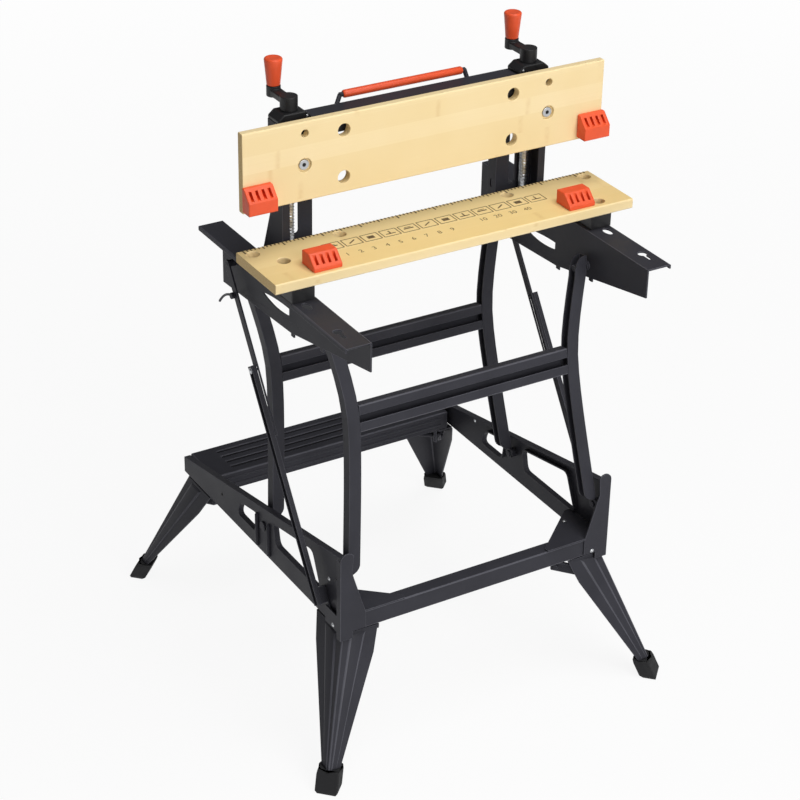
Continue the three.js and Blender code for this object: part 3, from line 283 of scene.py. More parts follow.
def add(tree, kind, inputs=(), **settings):
    """Adds a node with its settings; an input is a value, or what feeds it: a socket, a node or a list."""
    node = tree.nodes.new(kind)
    for name, value in settings.items():
        setattr(node, name, value)
    for key, given in dict(inputs).items():
        for value in given if isinstance(given, list) else [given]:
            if isinstance(value, bpy.types.Node):
                value = next(socket for socket in value.outputs if socket.enabled)
            if isinstance(value, bpy.types.NodeSocket):
                tree.links.new(value, node.inputs[key])
            else:
                node.inputs[key].default_value = value
    return node


def blank_material(name):
    """A new material without nodes of its own: the material, its tree, its object coordinates."""
    material = bpy.data.materials.new(name)
    material.use_nodes = True
    tree = material.node_tree
    tree.nodes.clear()
    return material, tree, add(tree, "ShaderNodeTexCoord").outputs["Object"]


def surface(material, share, first, second, inputs):
    """Ends a material: a colour between two, by a pattern from 0 to 1, then a shader and the output."""
    tree = material.node_tree
    tint = add(tree, "ShaderNodeMix", {0: share, 6: first, 7: second}, data_type="RGBA")
    shader = add(tree, "ShaderNodeBsdfPrincipled", {"Base Color": tint, **inputs})
    add(tree, "ShaderNodeOutputMaterial", {"Surface": shader})
    return material


def clouds(tree, place, size, low, high, detail=2.0):
    """A soft pattern from low to high, whose lumps are about the given size in metres."""
    lumps = add(tree, "ShaderNodeTexNoise", {"Vector": place, "Scale": 1 / size, "Detail": detail})
    return add(tree, "ShaderNodeMapRange", {
        "Value": lumps, "From Min": 0.3, "From Max": 0.7, "To Min": low, "To Max": high})


def grain(tree, place, size, strength, depth, detail=2.0):
    """The normals of a fine relief, whose grains are about the given size in metres."""
    grains = add(tree, "ShaderNodeTexNoise", {"Vector": place, "Scale": 1 / size, "Detail": detail})
    return add(tree, "ShaderNodeBump", {"Height": grains, "Strength": strength, "Distance": depth})


def counted(tree, spans):
    """A place counted in units of its own: each span is a coordinate and its unit."""
    counts = [add(tree, "ShaderNodeMath", {0: along, 1: unit}, operation="DIVIDE") for along, unit in spans]
    return add(tree, "ShaderNodeCombineXYZ", dict(enumerate(counts)))


def shade(rgba, factor):
    """A colour made lighter or darker."""
    return (*[min(1.0, c * factor) for c in rgba[:3]], 1.0)


# Finishes


def painted(name, paint, light, gloss):
    """Charcoal powder coat: an even satin skin with a fine orange peel and faint cloudy patches."""
    material, tree, place = blank_material(name)
    rgba = shade(getattr(colours(), paint), light)
    patches = clouds(tree, place, 60 * MM, 0.0, 1.0, 3.0)
    return surface(material, patches, shade(rgba, 0.9), shade(rgba, 1.1), {
        "Roughness": clouds(tree, place, 60 * MM, gloss, gloss + 0.1, 3.0),
        # Real orange peel is about 0.6 mm; drawn at 1.4 mm so that it shows
        "Normal": grain(tree, place, 1.4 * MM, 0.25, 0.06 * MM),
        "IOR": 1.5,
        "Specular IOR Level": 0.1})


def zinc_plated_steel(name):
    """Zinc plate: bright grey metal with a faint spangle and fine wiping marks."""
    material, tree, place = blank_material(name)
    rgba = colours().zinc
    spangle = add(tree, "ShaderNodeTexVoronoi", {"Vector": place, "Scale": 1 / (2.5 * MM)})
    return surface(material, spangle, shade(rgba, 0.9), rgba, {
        "Roughness": clouds(tree, place, 0.8 * MM, 0.26, 0.42, 4.0),
        "Normal": grain(tree, place, 0.8 * MM, 0.15, 0.03 * MM, 4.0),
        "Metallic": 1.0})


def golden(rgba):
    """A colour moved towards gold."""
    red, green, blue, alpha = rgba
    return (red, 0.96 * green, 0.8 * blue, alpha)


def bamboo_boards(name, across, cast=tuple):
    """Laminated bamboo: pale strips along the board with fine fibres and soft node marks."""
    material, tree, place = blank_material(name)
    paint = colours()
    light, dark = cast(paint.bamboo), cast(paint.bamboo_dark)
    parts = add(tree, "ShaderNodeSeparateXYZ", {0: place}).outputs
    wide, thick = (parts["Y"], parts["Z"]) if across == "Y" else (parts["Z"], parts["Y"])
    cell = counted(tree, ((wide, STRIP), (thick, PLY)))
    lamella = add(tree, "ShaderNodeVectorMath", {0: cell}, operation="FLOOR")
    chance = add(tree, "ShaderNodeTexWhiteNoise", {"Vector": lamella})
    drift = clouds(tree, place, 90 * MM, 0.0, 0.38)
    tone = add(tree, "ShaderNodeMath", {0: chance, 1: 0.62, 2: drift}, operation="MULTIPLY_ADD")
    # Fibres run the length of the board
    fibres = counted(tree, ((parts["X"], FIBRE_LENGTH), (wide, FIBRE_WIDTH), (thick, FIBRE_WIDTH)))
    pale = add(tree, "ShaderNodeMix", {0: tone, 6: light, 7: dark}, data_type="RGBA")
    streaks = {0: clouds(tree, fibres, 1.0, 0.0, 0.28, 3.0), 6: pale, 7: dark}
    strips = add(tree, "ShaderNodeMix", streaks, data_type="RGBA")
    # Node marks come at even steps along each lamella, from a start of its own
    shift = {0: chance, 1: 5 * NODE_SPACING, 2: parts["X"]}
    shifted = add(tree, "ShaderNodeMath", shift, operation="MULTIPLY_ADD")
    along = add(tree, "ShaderNodeMath", {0: shifted, 1: NODE_SPACING / 2}, operation="PINGPONG")
    fade = {"Value": along, "From Max": NODE_MARK, "To Min": 0.4, "To Max": 0.0}
    mark = add(tree, "ShaderNodeMapRange", fade, interpolation_type="SMOOTHSTEP")
    patches = clouds(tree, place, 14 * MM, 0.1, 1.0)
    patchy = add(tree, "ShaderNodeMath", {0: mark, 1: patches}, operation="MULTIPLY")
    return surface(material, patchy, strips, paint.bamboo_node, {
        "Roughness": clouds(tree, fibres, 1.0, 0.42, 0.56, 3.0),
        "Normal": grain(tree, fibres, 1.0, 0.12, 0.08 * MM, 3.0),
        "Specular IOR Level": 0.35})


def bamboo_end_grain(name):
    """Sawn bamboo ends: tan, with the dark dots of cut fibre bundles."""
    material, tree, place = blank_material(name)
    paint = colours()
    bundles = add(tree, "ShaderNodeTexVoronoi", {"Vector": place, "Scale": 1 / (1.6 * MM)})
    dots = {"Height": bundles, "Strength": 0.2, "Distance": 0.1 * MM}
    return surface(material, bundles, paint.bamboo_node, shade(paint.bamboo_dark, 0.96), {
        "Roughness": 0.7,
        "Normal": add(tree, "ShaderNodeBump", dots)})


def moulded(name, paint, low, high, grains):
    """Moulded plastic: an even colour with a fine spark-eroded grain and slight gloss changes."""
    material, tree, place = blank_material(name)
    rgba = getattr(colours(), paint)
    patches = clouds(tree, place, 18 * MM, 0.0, 1.0)
    return surface(material, patches, shade(rgba, 0.96), shade(rgba, 1.04), {
        "Roughness": clouds(tree, place, 18 * MM, low, high),
        "Normal": grain(tree, place, grains, 0.2, 0.05 * MM),
        "IOR": 1.5,
        "Specular IOR Level": 0.4})


def printed_ink(name):
    """Pad-printed ink on wood: dark brown, thin enough to break up over the fibres."""
    material, tree, place = blank_material(name)
    paint = colours()
    broken = clouds(tree, place, 1.2 * MM, 0.0, 0.3, 3.0)
    return surface(material, broken, paint.ink, paint.bamboo_node, {"Roughness": 0.6})


# Each finish: the function that makes it and what it is given
FINISHES = {
    # The paint on flat sheet
    "powder_coated_steel": (painted, "steel", 1.0, 0.4),
    # The same on folds and edges, lighter: partly polished by handling, partly a painted highlight
    "rubbed_powder_coat": (painted, "steel_edge", 1.0, 0.3),
    # The same in the grooves of the step, darker as painted shade, and duller
    "trodden_powder_coat": (painted, "steel", 0.4, 0.6),
    "zinc_plated_steel": (zinc_plated_steel,),
    # Bamboo lying flat, strips side by side along Y
    "bamboo_fixed": (bamboo_boards, "Y"),
    # The fixed jaw's top: a darker, more golden copy of the same bamboo, as painted shade
    "bamboo_top": (bamboo_boards, "Y", golden),
    # Bamboo standing up, strips one above the other
    "bamboo_moving": (bamboo_boards, "Z"),
    "bamboo_end_grain": (bamboo_end_grain,),
    # Orange ABS: clear strong colour, satin, with a little gloss
    "orange_abs": (moulded, "orange", 0.36, 0.48, 1.0 * MM),
    # Glass-filled black nylon: satin black with a coarser grain
    "black_nylon": (moulded, "black", 0.42, 0.56, 1.2 * MM),
    # Moulded rubber: soft dark grey, matt, dusty in patches
    "black_rubber": (moulded, "rubber", 0.68, 0.86, 1.6 * MM),
    "printed_ink": (printed_ink,),
}


def finish(name):
    """The material of that name, made on first use."""
    make, *details = FINISHES[name]
    return bpy.data.materials.get(name) or make(name, *details)


# Meshes


def cad_copy(node, whole=True):
    """A CAD node's mesh as one skin; its flat faces are made whole where asked."""
    made = bmesh.new()
    made.from_mesh(NODES[node].data)
    bmesh.ops.remove_doubles(made, verts=made.verts, dist=MERGE)
    if whole:
        bmesh.ops.dissolve_limit(made, angle_limit=FLAT, verts=made.verts, edges=made.edges)
    return made


def flat_breadths(made):
    """The mean breadth of the flat region that each face belongs to, by face index."""
    made.faces.index_update()
    breadths = {}
    for seed in made.faces:
        if seed.index in breadths:
            continue
        region, rim, queue = {seed.index}, 0.0, [seed]
        area = 0.0
        while queue:
            face = queue.pop()
            area += face.calc_area()
            for edge in face.edges:
                beyond = [f for f in edge.link_faces if f is not face]
                if len(beyond) != 1 or edge.calc_face_angle() > FLAT:
                    rim += edge.calc_length()
                elif beyond[0].index not in region:
                    region.add(beyond[0].index)
                    queue.append(beyond[0])
        breadths.update((index, 2 * area / rim) for index in region)
    return breadths


def weigh_edges(made, breadth, rim_share):
    """Marks edges to round: folds between two broad faces fully, cut edges of the sheet a little."""
    breadths = flat_breadths(made)
    weight = made.edges.layers.float.new("bevel_weight_edge")
    for edge in made.edges:
        if len(edge.link_faces) == 2 and edge.calc_face_angle() > SHARP:
            narrowest = min(breadths[face.index] for face in edge.link_faces)
            edge[weight] = 1.0 if narrowest > breadth else rim_share


def soften(mesh):
    """Smooths a mesh but for its sharp edges."""
    mesh.shade_smooth()
    mesh.set_sharp_from_angle(angle=SHARP)


def skin_mesh(name, made, smooth=True):
    """A skin as a mesh, smooth or with flat faces; the skin itself is freed."""
    mesh = bpy.data.meshes.new(name)
    made.to_mesh(mesh)
    made.free()
    if smooth:
        soften(mesh)
    return mesh


def in_scene(name, data):
    """A new object in the scene."""
    made = bpy.data.objects.new(name, data)
    bpy.context.scene.collection.objects.link(made)
    return made


def bevelled(name, made, radius, segments, edge_slot, slide):
    """A skin with its marked edges rounded, as a plain mesh; the skin itself is freed."""
    rough = skin_mesh(name, made)
    for _ in range(FINISH_SLOTS):
        rough.materials.append(None)
    blank = in_scene(name, rough)
    bevel = blank.modifiers.new("rounding", "BEVEL")
    bevel.limit_method = "WEIGHT"
    bevel.width = radius
    bevel.segments = segments
    bevel.use_clamp_overlap = False
    bevel.loop_slide = slide
    # Rounded edges take the edge slot's finish; on painted steel that is the lighter paint, partly wear and
    # partly a painted highlight
    bevel.material = edge_slot
    even = blank.modifiers.new("even_shading", "WEIGHTED_NORMAL")
    even.mode = "FACE_AREA"
    even.keep_sharp = True
    mesh = plain_mesh(blank)
    bpy.data.meshes.remove(rough)
    return mesh


def measure(made):
    """Area, volume and box of a skin."""
    corners = [v.co for v in made.verts]
    low = Vector([min(c[i] for c in corners) for i in range(3)])
    high = Vector([max(c[i] for c in corners) for i in range(3)])
    return sum(f.calc_area() for f in made.faces), made.calc_volume(), low, high


def holds_shape(mesh, before):
    """Whether a rounded mesh has kept the skin's area, volume and box, so no face has gone astray."""
    made = bmesh.new()
    made.from_mesh(mesh)
    area, volume, low, high = measure(made)
    made.free()
    old_area, old_volume, old_low, old_high = before
    inside = all(low[i] > old_low[i] - SLACK and high[i] < old_high[i] + SLACK for i in range(3))
    shares = ((area / old_area, AREA_KEPT), (volume / old_volume, VOLUME_KEPT))
    return inside and all(least < share < most for share, (least, most) in shares)


def overlap(mesh):
    """How much more the triangles cover than the faces: nothing, unless a face folds over itself."""
    mesh.calc_loop_triangles()
    return sum(t.area for t in mesh.loop_triangles) - sum(f.area for f in mesh.polygons)


def rounded_mesh(node, radius, segments, edge_slot, breadth, rim, mark=None):
    """A CAD node's shape with its edges rounded, as much as the shape allows."""
    for share, spare in ROUND_SHARES:
        for whole, slide in ROUND_WAYS:
            made = cad_copy(node, whole)
            before = measure(made)
            if mark:
                mark(made)
            weigh_edges(made, breadth, rim / radius)
            mesh = bevelled(node, made, radius * share, segments, edge_slot, slide)
            if holds_shape(mesh, before) and overlap(mesh) < spare:
                return mesh
            bpy.data.meshes.remove(mesh)
    return skin_mesh(node, cad_copy(node, False))


def plain_mesh(blank):
    """The evaluated mesh of an object, which is then removed."""
    graph = bpy.context.evaluated_depsgraph_get()
    graph.update()
    mesh = bpy.data.meshes.new_from_object(blank.evaluated_get(graph), preserve_all_data_layers=True,
                                           depsgraph=graph)
    bpy.data.objects.remove(blank)
    return mesh


def piece(name, mesh, body, finishes, replaces=()):
    """A finished piece: on its body, with its finishes, standing for CAD nodes where it does."""
    mesh.name = name
    # Clearing the slots sets every face back to the first one, so the choice is kept aside
    chosen = [0] * len(mesh.polygons)
    mesh.polygons.foreach_get("material_index", chosen)
    mesh.materials.clear()
    for coat in finishes:
        mesh.materials.append(finish(coat))
    mesh.polygons.foreach_set("material_index", chosen)
    obj = in_scene(name, mesh)
    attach(obj, body)
    if replaces:
        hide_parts(*replaces)


# Finishes of each slot: flat faces, then rounded edges; the steel's edge paint is partly wear and partly a
# painted highlight
SKINS = {
    "painted_steel": ("powder_coated_steel", "rubbed_powder_coat"),
    "plated_steel": ("zinc_plated_steel", "zinc_plated_steel"),
    "orange_plastic": ("orange_abs", "orange_abs"),
    "black_plastic": ("black_nylon", "black_nylon"),
    "rubber": ("black_rubber", "black_rubber"),
}
SLOT_OF = {part["node"]: part["material_slot"] for part in frame["record"]["subparts"]}


def body_of(node):
    """The body that a CAD node rides on."""
    return NODES[node]["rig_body"]


def stand_in(node, mesh, finishes):
    """The finished piece that replaces a CAD node."""
    piece(f"{node}_finish", mesh, body_of(node), finishes, [node])


def dress(node, radius, breadth=0.0, rim=None, segments=3):
    """Replaces a CAD node by its own shape with rounded edges and its finish."""
    mesh = rounded_mesh(node, radius, segments, EDGE_SLOT, breadth, radius if rim is None else rim)
    stand_in(node, mesh, SKINS[SLOT_OF[node]])


def dress_sheet(node, fold=None):
    """Dresses a pressed steel node: wide folds, fine cut edges."""
    dress(node, fold or sizes().fold, SHEET_BREADTH, sizes().rim)


def turned_mesh(name, profile, sides, place):
    """A shape turned about the vertical: profile points are radius and height, first and last on axis."""
    made = bmesh.new()
    turns = [2 * math.pi * i / sides for i in range(sides)]
    rings = []
    for radius, height in profile:
        ring = [(radius * math.cos(a), radius * math.sin(a), height) for a in turns]
        rings.append([made.verts.new(point) for point in (ring if radius > MERGE else [(0, 0, height)])])
    for low, high in zip(rings, rings[1:]):
        for i in range(sides):
            j = i + 1
            quad = (low[i % len(low)], low[j % len(low)], high[j % len(high)], high[i % len(high)])
            corners = list(dict.fromkeys(quad))
            if len(corners) > 2:
                made.faces.new(corners)
    made.transform(place)
    bmesh.ops.recalc_face_normals(made, faces=made.faces)
    return skin_mesh(name, made)


def arc(centre, radius, start, stop, steps):
    """Points of an arc in a turned profile; turns in degrees."""
    turns = [math.radians(start + (stop - start) * i / steps) for i in range(steps + 1)]
    return [(centre[0] + radius * math.cos(t), centre[1] + radius * math.sin(t)) for t in turns]


# Geometry node trees


def node_tree(name, **inputs):
    """A geometry tree with named inputs; gives the tree and the sockets of its inputs."""
    tree = bpy.data.node_groups.new(name, "GeometryNodeTree")
    tree.interface.new_socket("Geometry", in_out="INPUT", socket_type="NodeSocketGeometry")
    for label, kind in inputs.items():
        tree.interface.new_socket(label, in_out="INPUT", socket_type=f"NodeSocket{kind}")
    tree.interface.new_socket("Geometry", in_out="OUTPUT", socket_type="NodeSocketGeometry")
    return tree, tree.nodes.new("NodeGroupInput").outputs


def close_tree(tree, geometry, material):
    """Ends a tree: real meshes, with their material."""
    real = add(tree, "GeometryNodeRealizeInstances", {"Geometry": geometry})
    coated = add(tree, "GeometryNodeSetMaterial", {"Geometry": real, "Material": material})
    add(tree, "NodeGroupOutput", {"Geometry": coated})
    return tree


def run_tree(name, build, data, **inputs):
    """Runs a tree, built on first use, on mesh or curve data and gives the plain mesh."""
    tree = bpy.data.node_groups.get(build.__name__) or build(build.__name__)
    blank = in_scene(name, data)
    modifier = blank.modifiers.new(tree.name, "NODES")
    modifier.node_group = tree
    for socket in tree.interface.items_tree:
        if socket.in_out == "INPUT" and socket.name in inputs:
            modifier[socket.identifier] = inputs[socket.name]
    mesh = plain_mesh(blank)
    soften(mesh)
    return mesh


def bead_tree(name):
    """Sweeps a round bead along curves; each point's radius scales it."""
    tree, given = node_tree(name, Radius="Float", Sides="Int", Material="Material")
    ring = add(tree, "GeometryNodeCurvePrimitiveCircle",
               {"Resolution": given["Sides"], "Radius": given["Radius"]})
    swept = add(tree, "GeometryNodeCurveToMesh", {
        "Curve": given["Geometry"], "Profile Curve": ring, "Fill Caps": True,
        "Scale": add(tree, "GeometryNodeInputRadius")})
    return close_tree(tree, swept, given["Material"])


def scatter_tree(name):
    """Puts a pattern piece on every point, its top turned to the point's facing direction."""
    tree, given = node_tree(name, Pattern="Object", Size="Float", Material="Material")
    facing = add(tree, "GeometryNodeInputNamedAttribute", {"Name": "facing"}, data_type="FLOAT_VECTOR")
    turn = add(tree, "FunctionNodeAlignRotationToVector", {"Vector": facing}, axis="Z")
    pattern = add(tree, "GeometryNodeObjectInfo", {"Object": given["Pattern"]})
    placed = add(tree, "GeometryNodeInstanceOnPoints", {
        "Points": given["Geometry"], "Instance": pattern.outputs["Geometry"], "Rotation": turn,
        "Scale": given["Size"]})
    return close_tree(tree, placed, given["Material"])


def thread_tree(name):
    """Winds a two-start thread round the vertical axis and joins it to the core."""
    tree, given = node_tree(name, Lead="Float", Height="Float", Radius="Float", Profile="Float",
                            Place="Vector", Material="Material")
    turns = add(tree, "ShaderNodeMath", {0: given["Height"], 1: given["Lead"]}, operation="DIVIDE")
    helix = add(tree, "GeometryNodeCurveSpiral", {
        "Resolution": 24, "Rotations": turns, "Start Radius": given["Radius"],
        "End Radius": given["Radius"], "Height": given["Height"]})
    starts = []
    for turn in (0, math.pi):
        place = {"Geometry": helix, "Translation": given["Place"], "Rotation": (0, 0, turn)}
        starts.append(add(tree, "GeometryNodeTransform", place))
    both = add(tree, "GeometryNodeJoinGeometry", {"Geometry": starts})
    ridge = add(tree, "GeometryNodeCurvePrimitiveCircle", {"Resolution": 6, "Radius": given["Profile"]})
    wound = add(tree, "GeometryNodeCurveToMesh", {"Curve": both, "Profile Curve": ridge, "Fill Caps": True})
    whole = add(tree, "GeometryNodeJoinGeometry", {"Geometry": [wound, given["Geometry"]]})
    return close_tree(tree, whole, given["Material"])


def ruler_tree(name):
    """Lays a row of ticks along X: every fifth is longer, every tenth longer still."""
    tree, given = node_tree(name, Count="Int", Pitch="Float", Width="Float", Length="Float",
                            Start="Vector", Material="Material")
    pitch = add(tree, "ShaderNodeCombineXYZ", {"X": given["Pitch"]})
    row = add(tree, "GeometryNodeMeshLine",
              {"Count": given["Count"], "Start Location": given["Start"], "Offset": pitch})
    index = add(tree, "GeometryNodeInputIndex")
    reach = 1.0
    for every in (5.0, 10.0):
        place = add(tree, "ShaderNodeMath", {0: index, 1: every}, operation="MODULO")
        first = add(tree, "ShaderNodeMath", {0: place, 1: 0.5}, operation="LESS_THAN")
        reach = add(tree, "ShaderNodeMath", {0: first, 1: 0.55, 2: reach}, operation="MULTIPLY_ADD")
    stretch = add(tree, "ShaderNodeCombineXYZ", {"X": 1.0, "Y": reach, "Z": 1.0})
    line = add(tree, "ShaderNodeCombineXYZ", {"X": given["Width"], "Y": given["Length"], "Z": INK_DEPTH})
    tick = add(tree, "GeometryNodeMeshCube", {"Size": line})
    half = add(tree, "ShaderNodeMath", {0: given["Length"], 1: -0.5}, operation="MULTIPLY")
    hang = add(tree, "ShaderNodeCombineXYZ", {"Y": half})
    hung = add(tree, "GeometryNodeTransform", {"Geometry": tick, "Translation": hang})
    laid = add(tree, "GeometryNodeInstanceOnPoints", {"Points": row, "Instance": hung, "Scale": stretch})
    return close_tree(tree, laid, given["Material"])


def curve_data(name, runs):
    """Poly curves through runs of points, each with its share of the width."""
    data = bpy.data.curves.new(name, "CURVE")
    data.dimensions = "3D"
    for run in runs:
        spline = data.splines.new("POLY")
        spline.points.add(len(run) - 1)
        for point, (place, width) in zip(spline.points, run):
            point.co = (*place, 1.0)
            point.radius = width
    return data


def bead_mesh(name, runs, radius, sides, coat):
    """Round beads or rods swept along runs of points."""
    return run_tree(name, bead_tree, curve_data(name, runs),
                    Radius=radius, Sides=sides, Material=finish(coat))


def pressed_ribs(name, runs, radius):
    """Ribs pressed out of the base's sheet."""
    coat = "powder_coated_steel"
    piece(name, bead_mesh(name, runs, radius, BEAD_SIDES, coat), "base", [coat])


def fasteners(name, pattern, size, places, body, coat="zinc_plated_steel"):
    """Like heads set on one body: each place is a point on a surface and the way the head faces."""
    points = bpy.data.meshes.new(name)
    points.from_pydata([place for place, _ in places], [], [])
    facing = points.attributes.new("facing", "FLOAT_VECTOR", "POINT")
    for value, (_, way) in zip(facing.data, places):
        value.vector = way
    mesh = run_tree(name, scatter_tree, points,
                    Pattern=pattern, Size=size, Material=finish(coat))
    piece(name, mesh, body, [coat])


def holes(name, size, places, body):
    """Dark dishes on one body: painted shade standing for drilled holes."""
    # The dishes take the black finish as painted shade
    fasteners(name, drilled_hole(), size, places, body, "black_nylon")


def pattern_head(name, profile):
    """A turned head of unit radius, used as the pattern for fasteners."""
    known = bpy.data.objects.get(name)
    return known or bpy.data.objects.new(name, turned_mesh(name, profile, HEAD_SIDES, Matrix()))


def rivet_head():
    """A low domed rivet over a thin washer edge."""
    return pattern_head("rivet_pattern", [
        (0, -0.3), (1.0, -0.3), (1.0, 0.06), *arc((0.0, -0.55), 1.05, 40, 90, 6)[:-1], (0, 0.5)])


def drilled_hole():
    """A dark shallow dish that stands for a hole: painted shade for its dark inside."""
    return pattern_head("hole_pattern", [
        (0, -0.2), (1.0, -0.2), (1.0, 0.02), (0.9, 0.03), (0.75, 0.0), (0, 0.0)])


# Pieces


class WORKBENCH_OT_base(bpy.types.Operator):
    """Side rails with lipped windows, step, cross rail, corner brackets and leg hinges"""

    bl_idname = "workbench.base"
    bl_label = "Base frame"

    def execute(self, context):
        for side, _ in SIDES:
            dress_sheet(f"side_rail_{side}")
            dress_sheet(f"corner_bracket_{side}", BRACKET_FOLD)
            rail_ribs(side)
        step()
        step_ribs()
        dress_sheet("front_cross_rail")
        for corner, _, _ in CORNERS:
            dress_sheet(f"leg_hinge_{corner}")
        return {"FINISHED"}


def soft_run(start, stop, share=0.06):
    """A straight run that thins out towards both ends."""
    full = [(start.lerp(stop, place), 1.0) for place in (share, 1 - share)]
    return [(start, 0.3), *full, (stop, 0.3)]


def rail_ribs(side):
    """Two pressed upright ribs on a side rail's outer face, either side of the rear pivot."""
    low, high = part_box(f"side_rail_{side}")
    sunk = sizes().rib - sizes().press
    face = low.x + sunk if side == "left" else high.x - sunk
    runs = [soft_run(Vector((face, y, RIB_FOOT)), Vector((face, y, RIB_HEAD))) for y in RIB_PLACES]
    pressed_ribs(f"rail_rib_{side}", runs, sizes().rib)


def step():
    """The step plate, with painted shade in its grooves."""
    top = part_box("step_plate")[1].z
    least, most = GROOVE_DEPTHS

    # Groove floors take a darker copy of the paint: painted shade
    def mark_grooves(plate):
        for face in plate.faces:
            if face.normal.z > FACING and top - most < face.calc_center_median().z < top - least:
                face.material_index = MARKED_SLOT

    mesh = rounded_mesh("step_plate", sizes().fold, segments=3, edge_slot=EDGE_SLOT,
                        breadth=SHEET_BREADTH, rim=sizes().rim, mark=mark_grooves)
    stand_in("step_plate", mesh, (*SKINS["painted_steel"], "trodden_powder_coat"))


def step_ribs():
    """Two pressed ribs along the front of the step."""
    low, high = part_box("step_plate")
    runs = []
    for share in STEP_RIB_SHARES:
        z = low.z + share * (high.z - low.z)
        spans = (low.x + STEP_RIB_INSET, high.x - STEP_RIB_INSET)
        ends = [Vector((x, low.y + STEP_RIB_SUNK, z)) for x in spans]
        runs.append(soft_run(*ends, share=0.01))
    pressed_ribs("step_ribs", runs, sizes().step_rib)


class WORKBENCH_OT_legs(bpy.types.Operator):
    """Splayed legs with pressed panels, and their rubber feet"""

    bl_idname = "workbench.legs"
    bl_label = "Legs and feet"

    def execute(self, context):
        for corner, sx, sy in CORNERS:
            dress_sheet(f"leg_{corner}")
            dress(f"foot_{corner}", sizes().rubber, *FOOT_EDGES)
            leg_panels(corner, sx, sy)
        return {"FINISHED"}


def panel_ring(shell, ends, rise, inset):
    """Four new corners on a leg's face, inset from the panel's border and lifted off the face."""
    low, high = ends
    near, far = PANEL_ACROSS[0] + inset, PANEL_ACROSS[1] - inset
    foot, head = PANEL_ALONG[0] + inset / 3, PANEL_ALONG[1] - inset / 3
    corners = ((near, foot), (far, foot), (far, head), (near, head))
    places = [low[0].lerp(low[1], u).lerp(high[0].lerp(high[1], u), v) for u, v in corners]
    return [shell.verts.new(place + rise) for place in places]


def press_panel(shell, face, sx, sy):
    """Adds to a shell the panel over one face of a leg; its long borders take the lighter edge paint,
    partly wear and partly a painted highlight.
    """
    points = sorted((v.co.copy() for v in face.verts), key=lambda p: p.z)
    ends = [sorted(pair, key=lambda p: -p.x * sx - p.y * sy) for pair in (points[:2], points[-2:])]
    height = sizes().press
    levels = ((-PANEL_SUNK, 0.0), (0.7 * height, 0.04), (height, 0.08))
    rings = [panel_ring(shell, ends, face.normal * lift, inset) for lift, inset in levels]
    for lower, upper in zip(rings, rings[1:]):
        for i in range(4):
            j = (i + 1) % 4
            # Long borders take the lighter edge paint: partly wear, partly a painted highlight
            border = shell.faces.new((lower[i], lower[j], upper[j], upper[i]))
            border.material_index = EDGE_SLOT if i % 2 else 0
    shell.faces.new(rings[-1])
    shell.faces.new(reversed(rings[0]))


def leg_panels(corner, sx, sy):
    """A long panel pressed out of each outer face of a leg, with sloping borders."""
    leg = cad_copy(f"leg_{corner}")
    shell = bmesh.new()
    for face in leg.faces:
        heights = [v.co.z for v in face.verts]
        outward = max(face.normal.x * sx, face.normal.y * sy) > OUTWARD
        tall = max(heights) - min(heights) >= PANEL_FACE_TALL
        if outward and tall and face.calc_area() >= PANEL_FACE_AREA:
            press_panel(shell, face, sx, sy)
    leg.free()
    if not shell.faces:
        raise RuntimeError(f"no outer faces found on leg_{corner}")
    bmesh.ops.recalc_face_normals(shell, faces=shell.faces)
    name = f"leg_panel_{corner}"
    piece(name, skin_mesh(name, shell), f"{corner}_leg", SKINS["painted_steel"])


class WORKBENCH_OT_frames(bpy.types.Operator):
    """The two folding H-frames, their cross rails and pivot pins"""

    bl_idname = "workbench.frames"
    bl_label = "Folding frames"

    def execute(self, context):
        for corner, _, _ in CORNERS:
            dress_sheet(f"upright_{corner}")
            dress(f"pivot_pin_{corner}", sizes().rim, segments=2)
        for end in ENDS:
            dress_sheet(f"frame_rail_{end}")
        return {"FINISHED"}


class WORKBENCH_OT_struts(bpy.types.Operator):
    """Folding struts and their release levers"""

    bl_idname = "workbench.struts"
    bl_label = "Struts"

    def execute(self, context):
        for side, _ in SIDES:
            dress_sheet(f"strut_lower_{side}", STRUT_FOLD)
            dress_sheet(f"strut_upper_{side}")
            dress(f"strut_release_{side}", sizes().rim, segments=2)
        return {"FINISHED"}


class WORKBENCH_OT_top(bpy.types.Operator):
    """Support beams and the saddles under the fixed jaw"""

    bl_idname = "workbench.top"
    bl_label = "Support beams"

    def execute(self, context):
        for side, _ in SIDES:
            dress_sheet(f"support_beam_{side}")
            dress(f"jaw_support_{side}", sizes().moulded, *SADDLE_EDGES)
        return {"FINISHED"}


class WORKBENCH_OT_jaws(bpy.types.Operator):
    """Bamboo jaws, the printed ruler and plain printed marks"""

    bl_idname = "workbench.jaws"
    bl_label = "Jaws"

    def execute(self, context):
        bamboo_jaw("fixed_jaw", "bamboo_fixed", "bamboo_top")
        bamboo_jaw("moving_jaw", "bamboo_moving", "bamboo_moving")
        ruler()
        plain_numbers()
        plain_marks()
        return {"FINISHED"}


def bamboo_jaw(node, coat, top):
    """A bamboo board with eased edges; its sawn ends show end grain."""
    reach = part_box(node)[1].x - SLACK

    # Sawn ends take end grain; upward faces take the third finish, on the fixed jaw a darker golden copy
    # that paints shade on its top
    def mark_faces(board):
        for face in board.faces:
            if abs(face.normal.x) > FACING and all(abs(v.co.x) > reach for v in face.verts):
                face.material_index = EDGE_SLOT
            elif face.normal.z > FACING:
                face.material_index = MARKED_SLOT

    mesh = rounded_mesh(node, sizes().wood, segments=2, edge_slot=SAME_SLOT,
                        breadth=0.0, rim=sizes().wood, mark=mark_faces)
    stand_in(node, mesh, (coat, "bamboo_end_grain", top))


def print_on_jaw(name, mesh):
    """Puts a printed mesh on the fixed jaw."""
    piece(name, mesh, "top", ["printed_ink"])


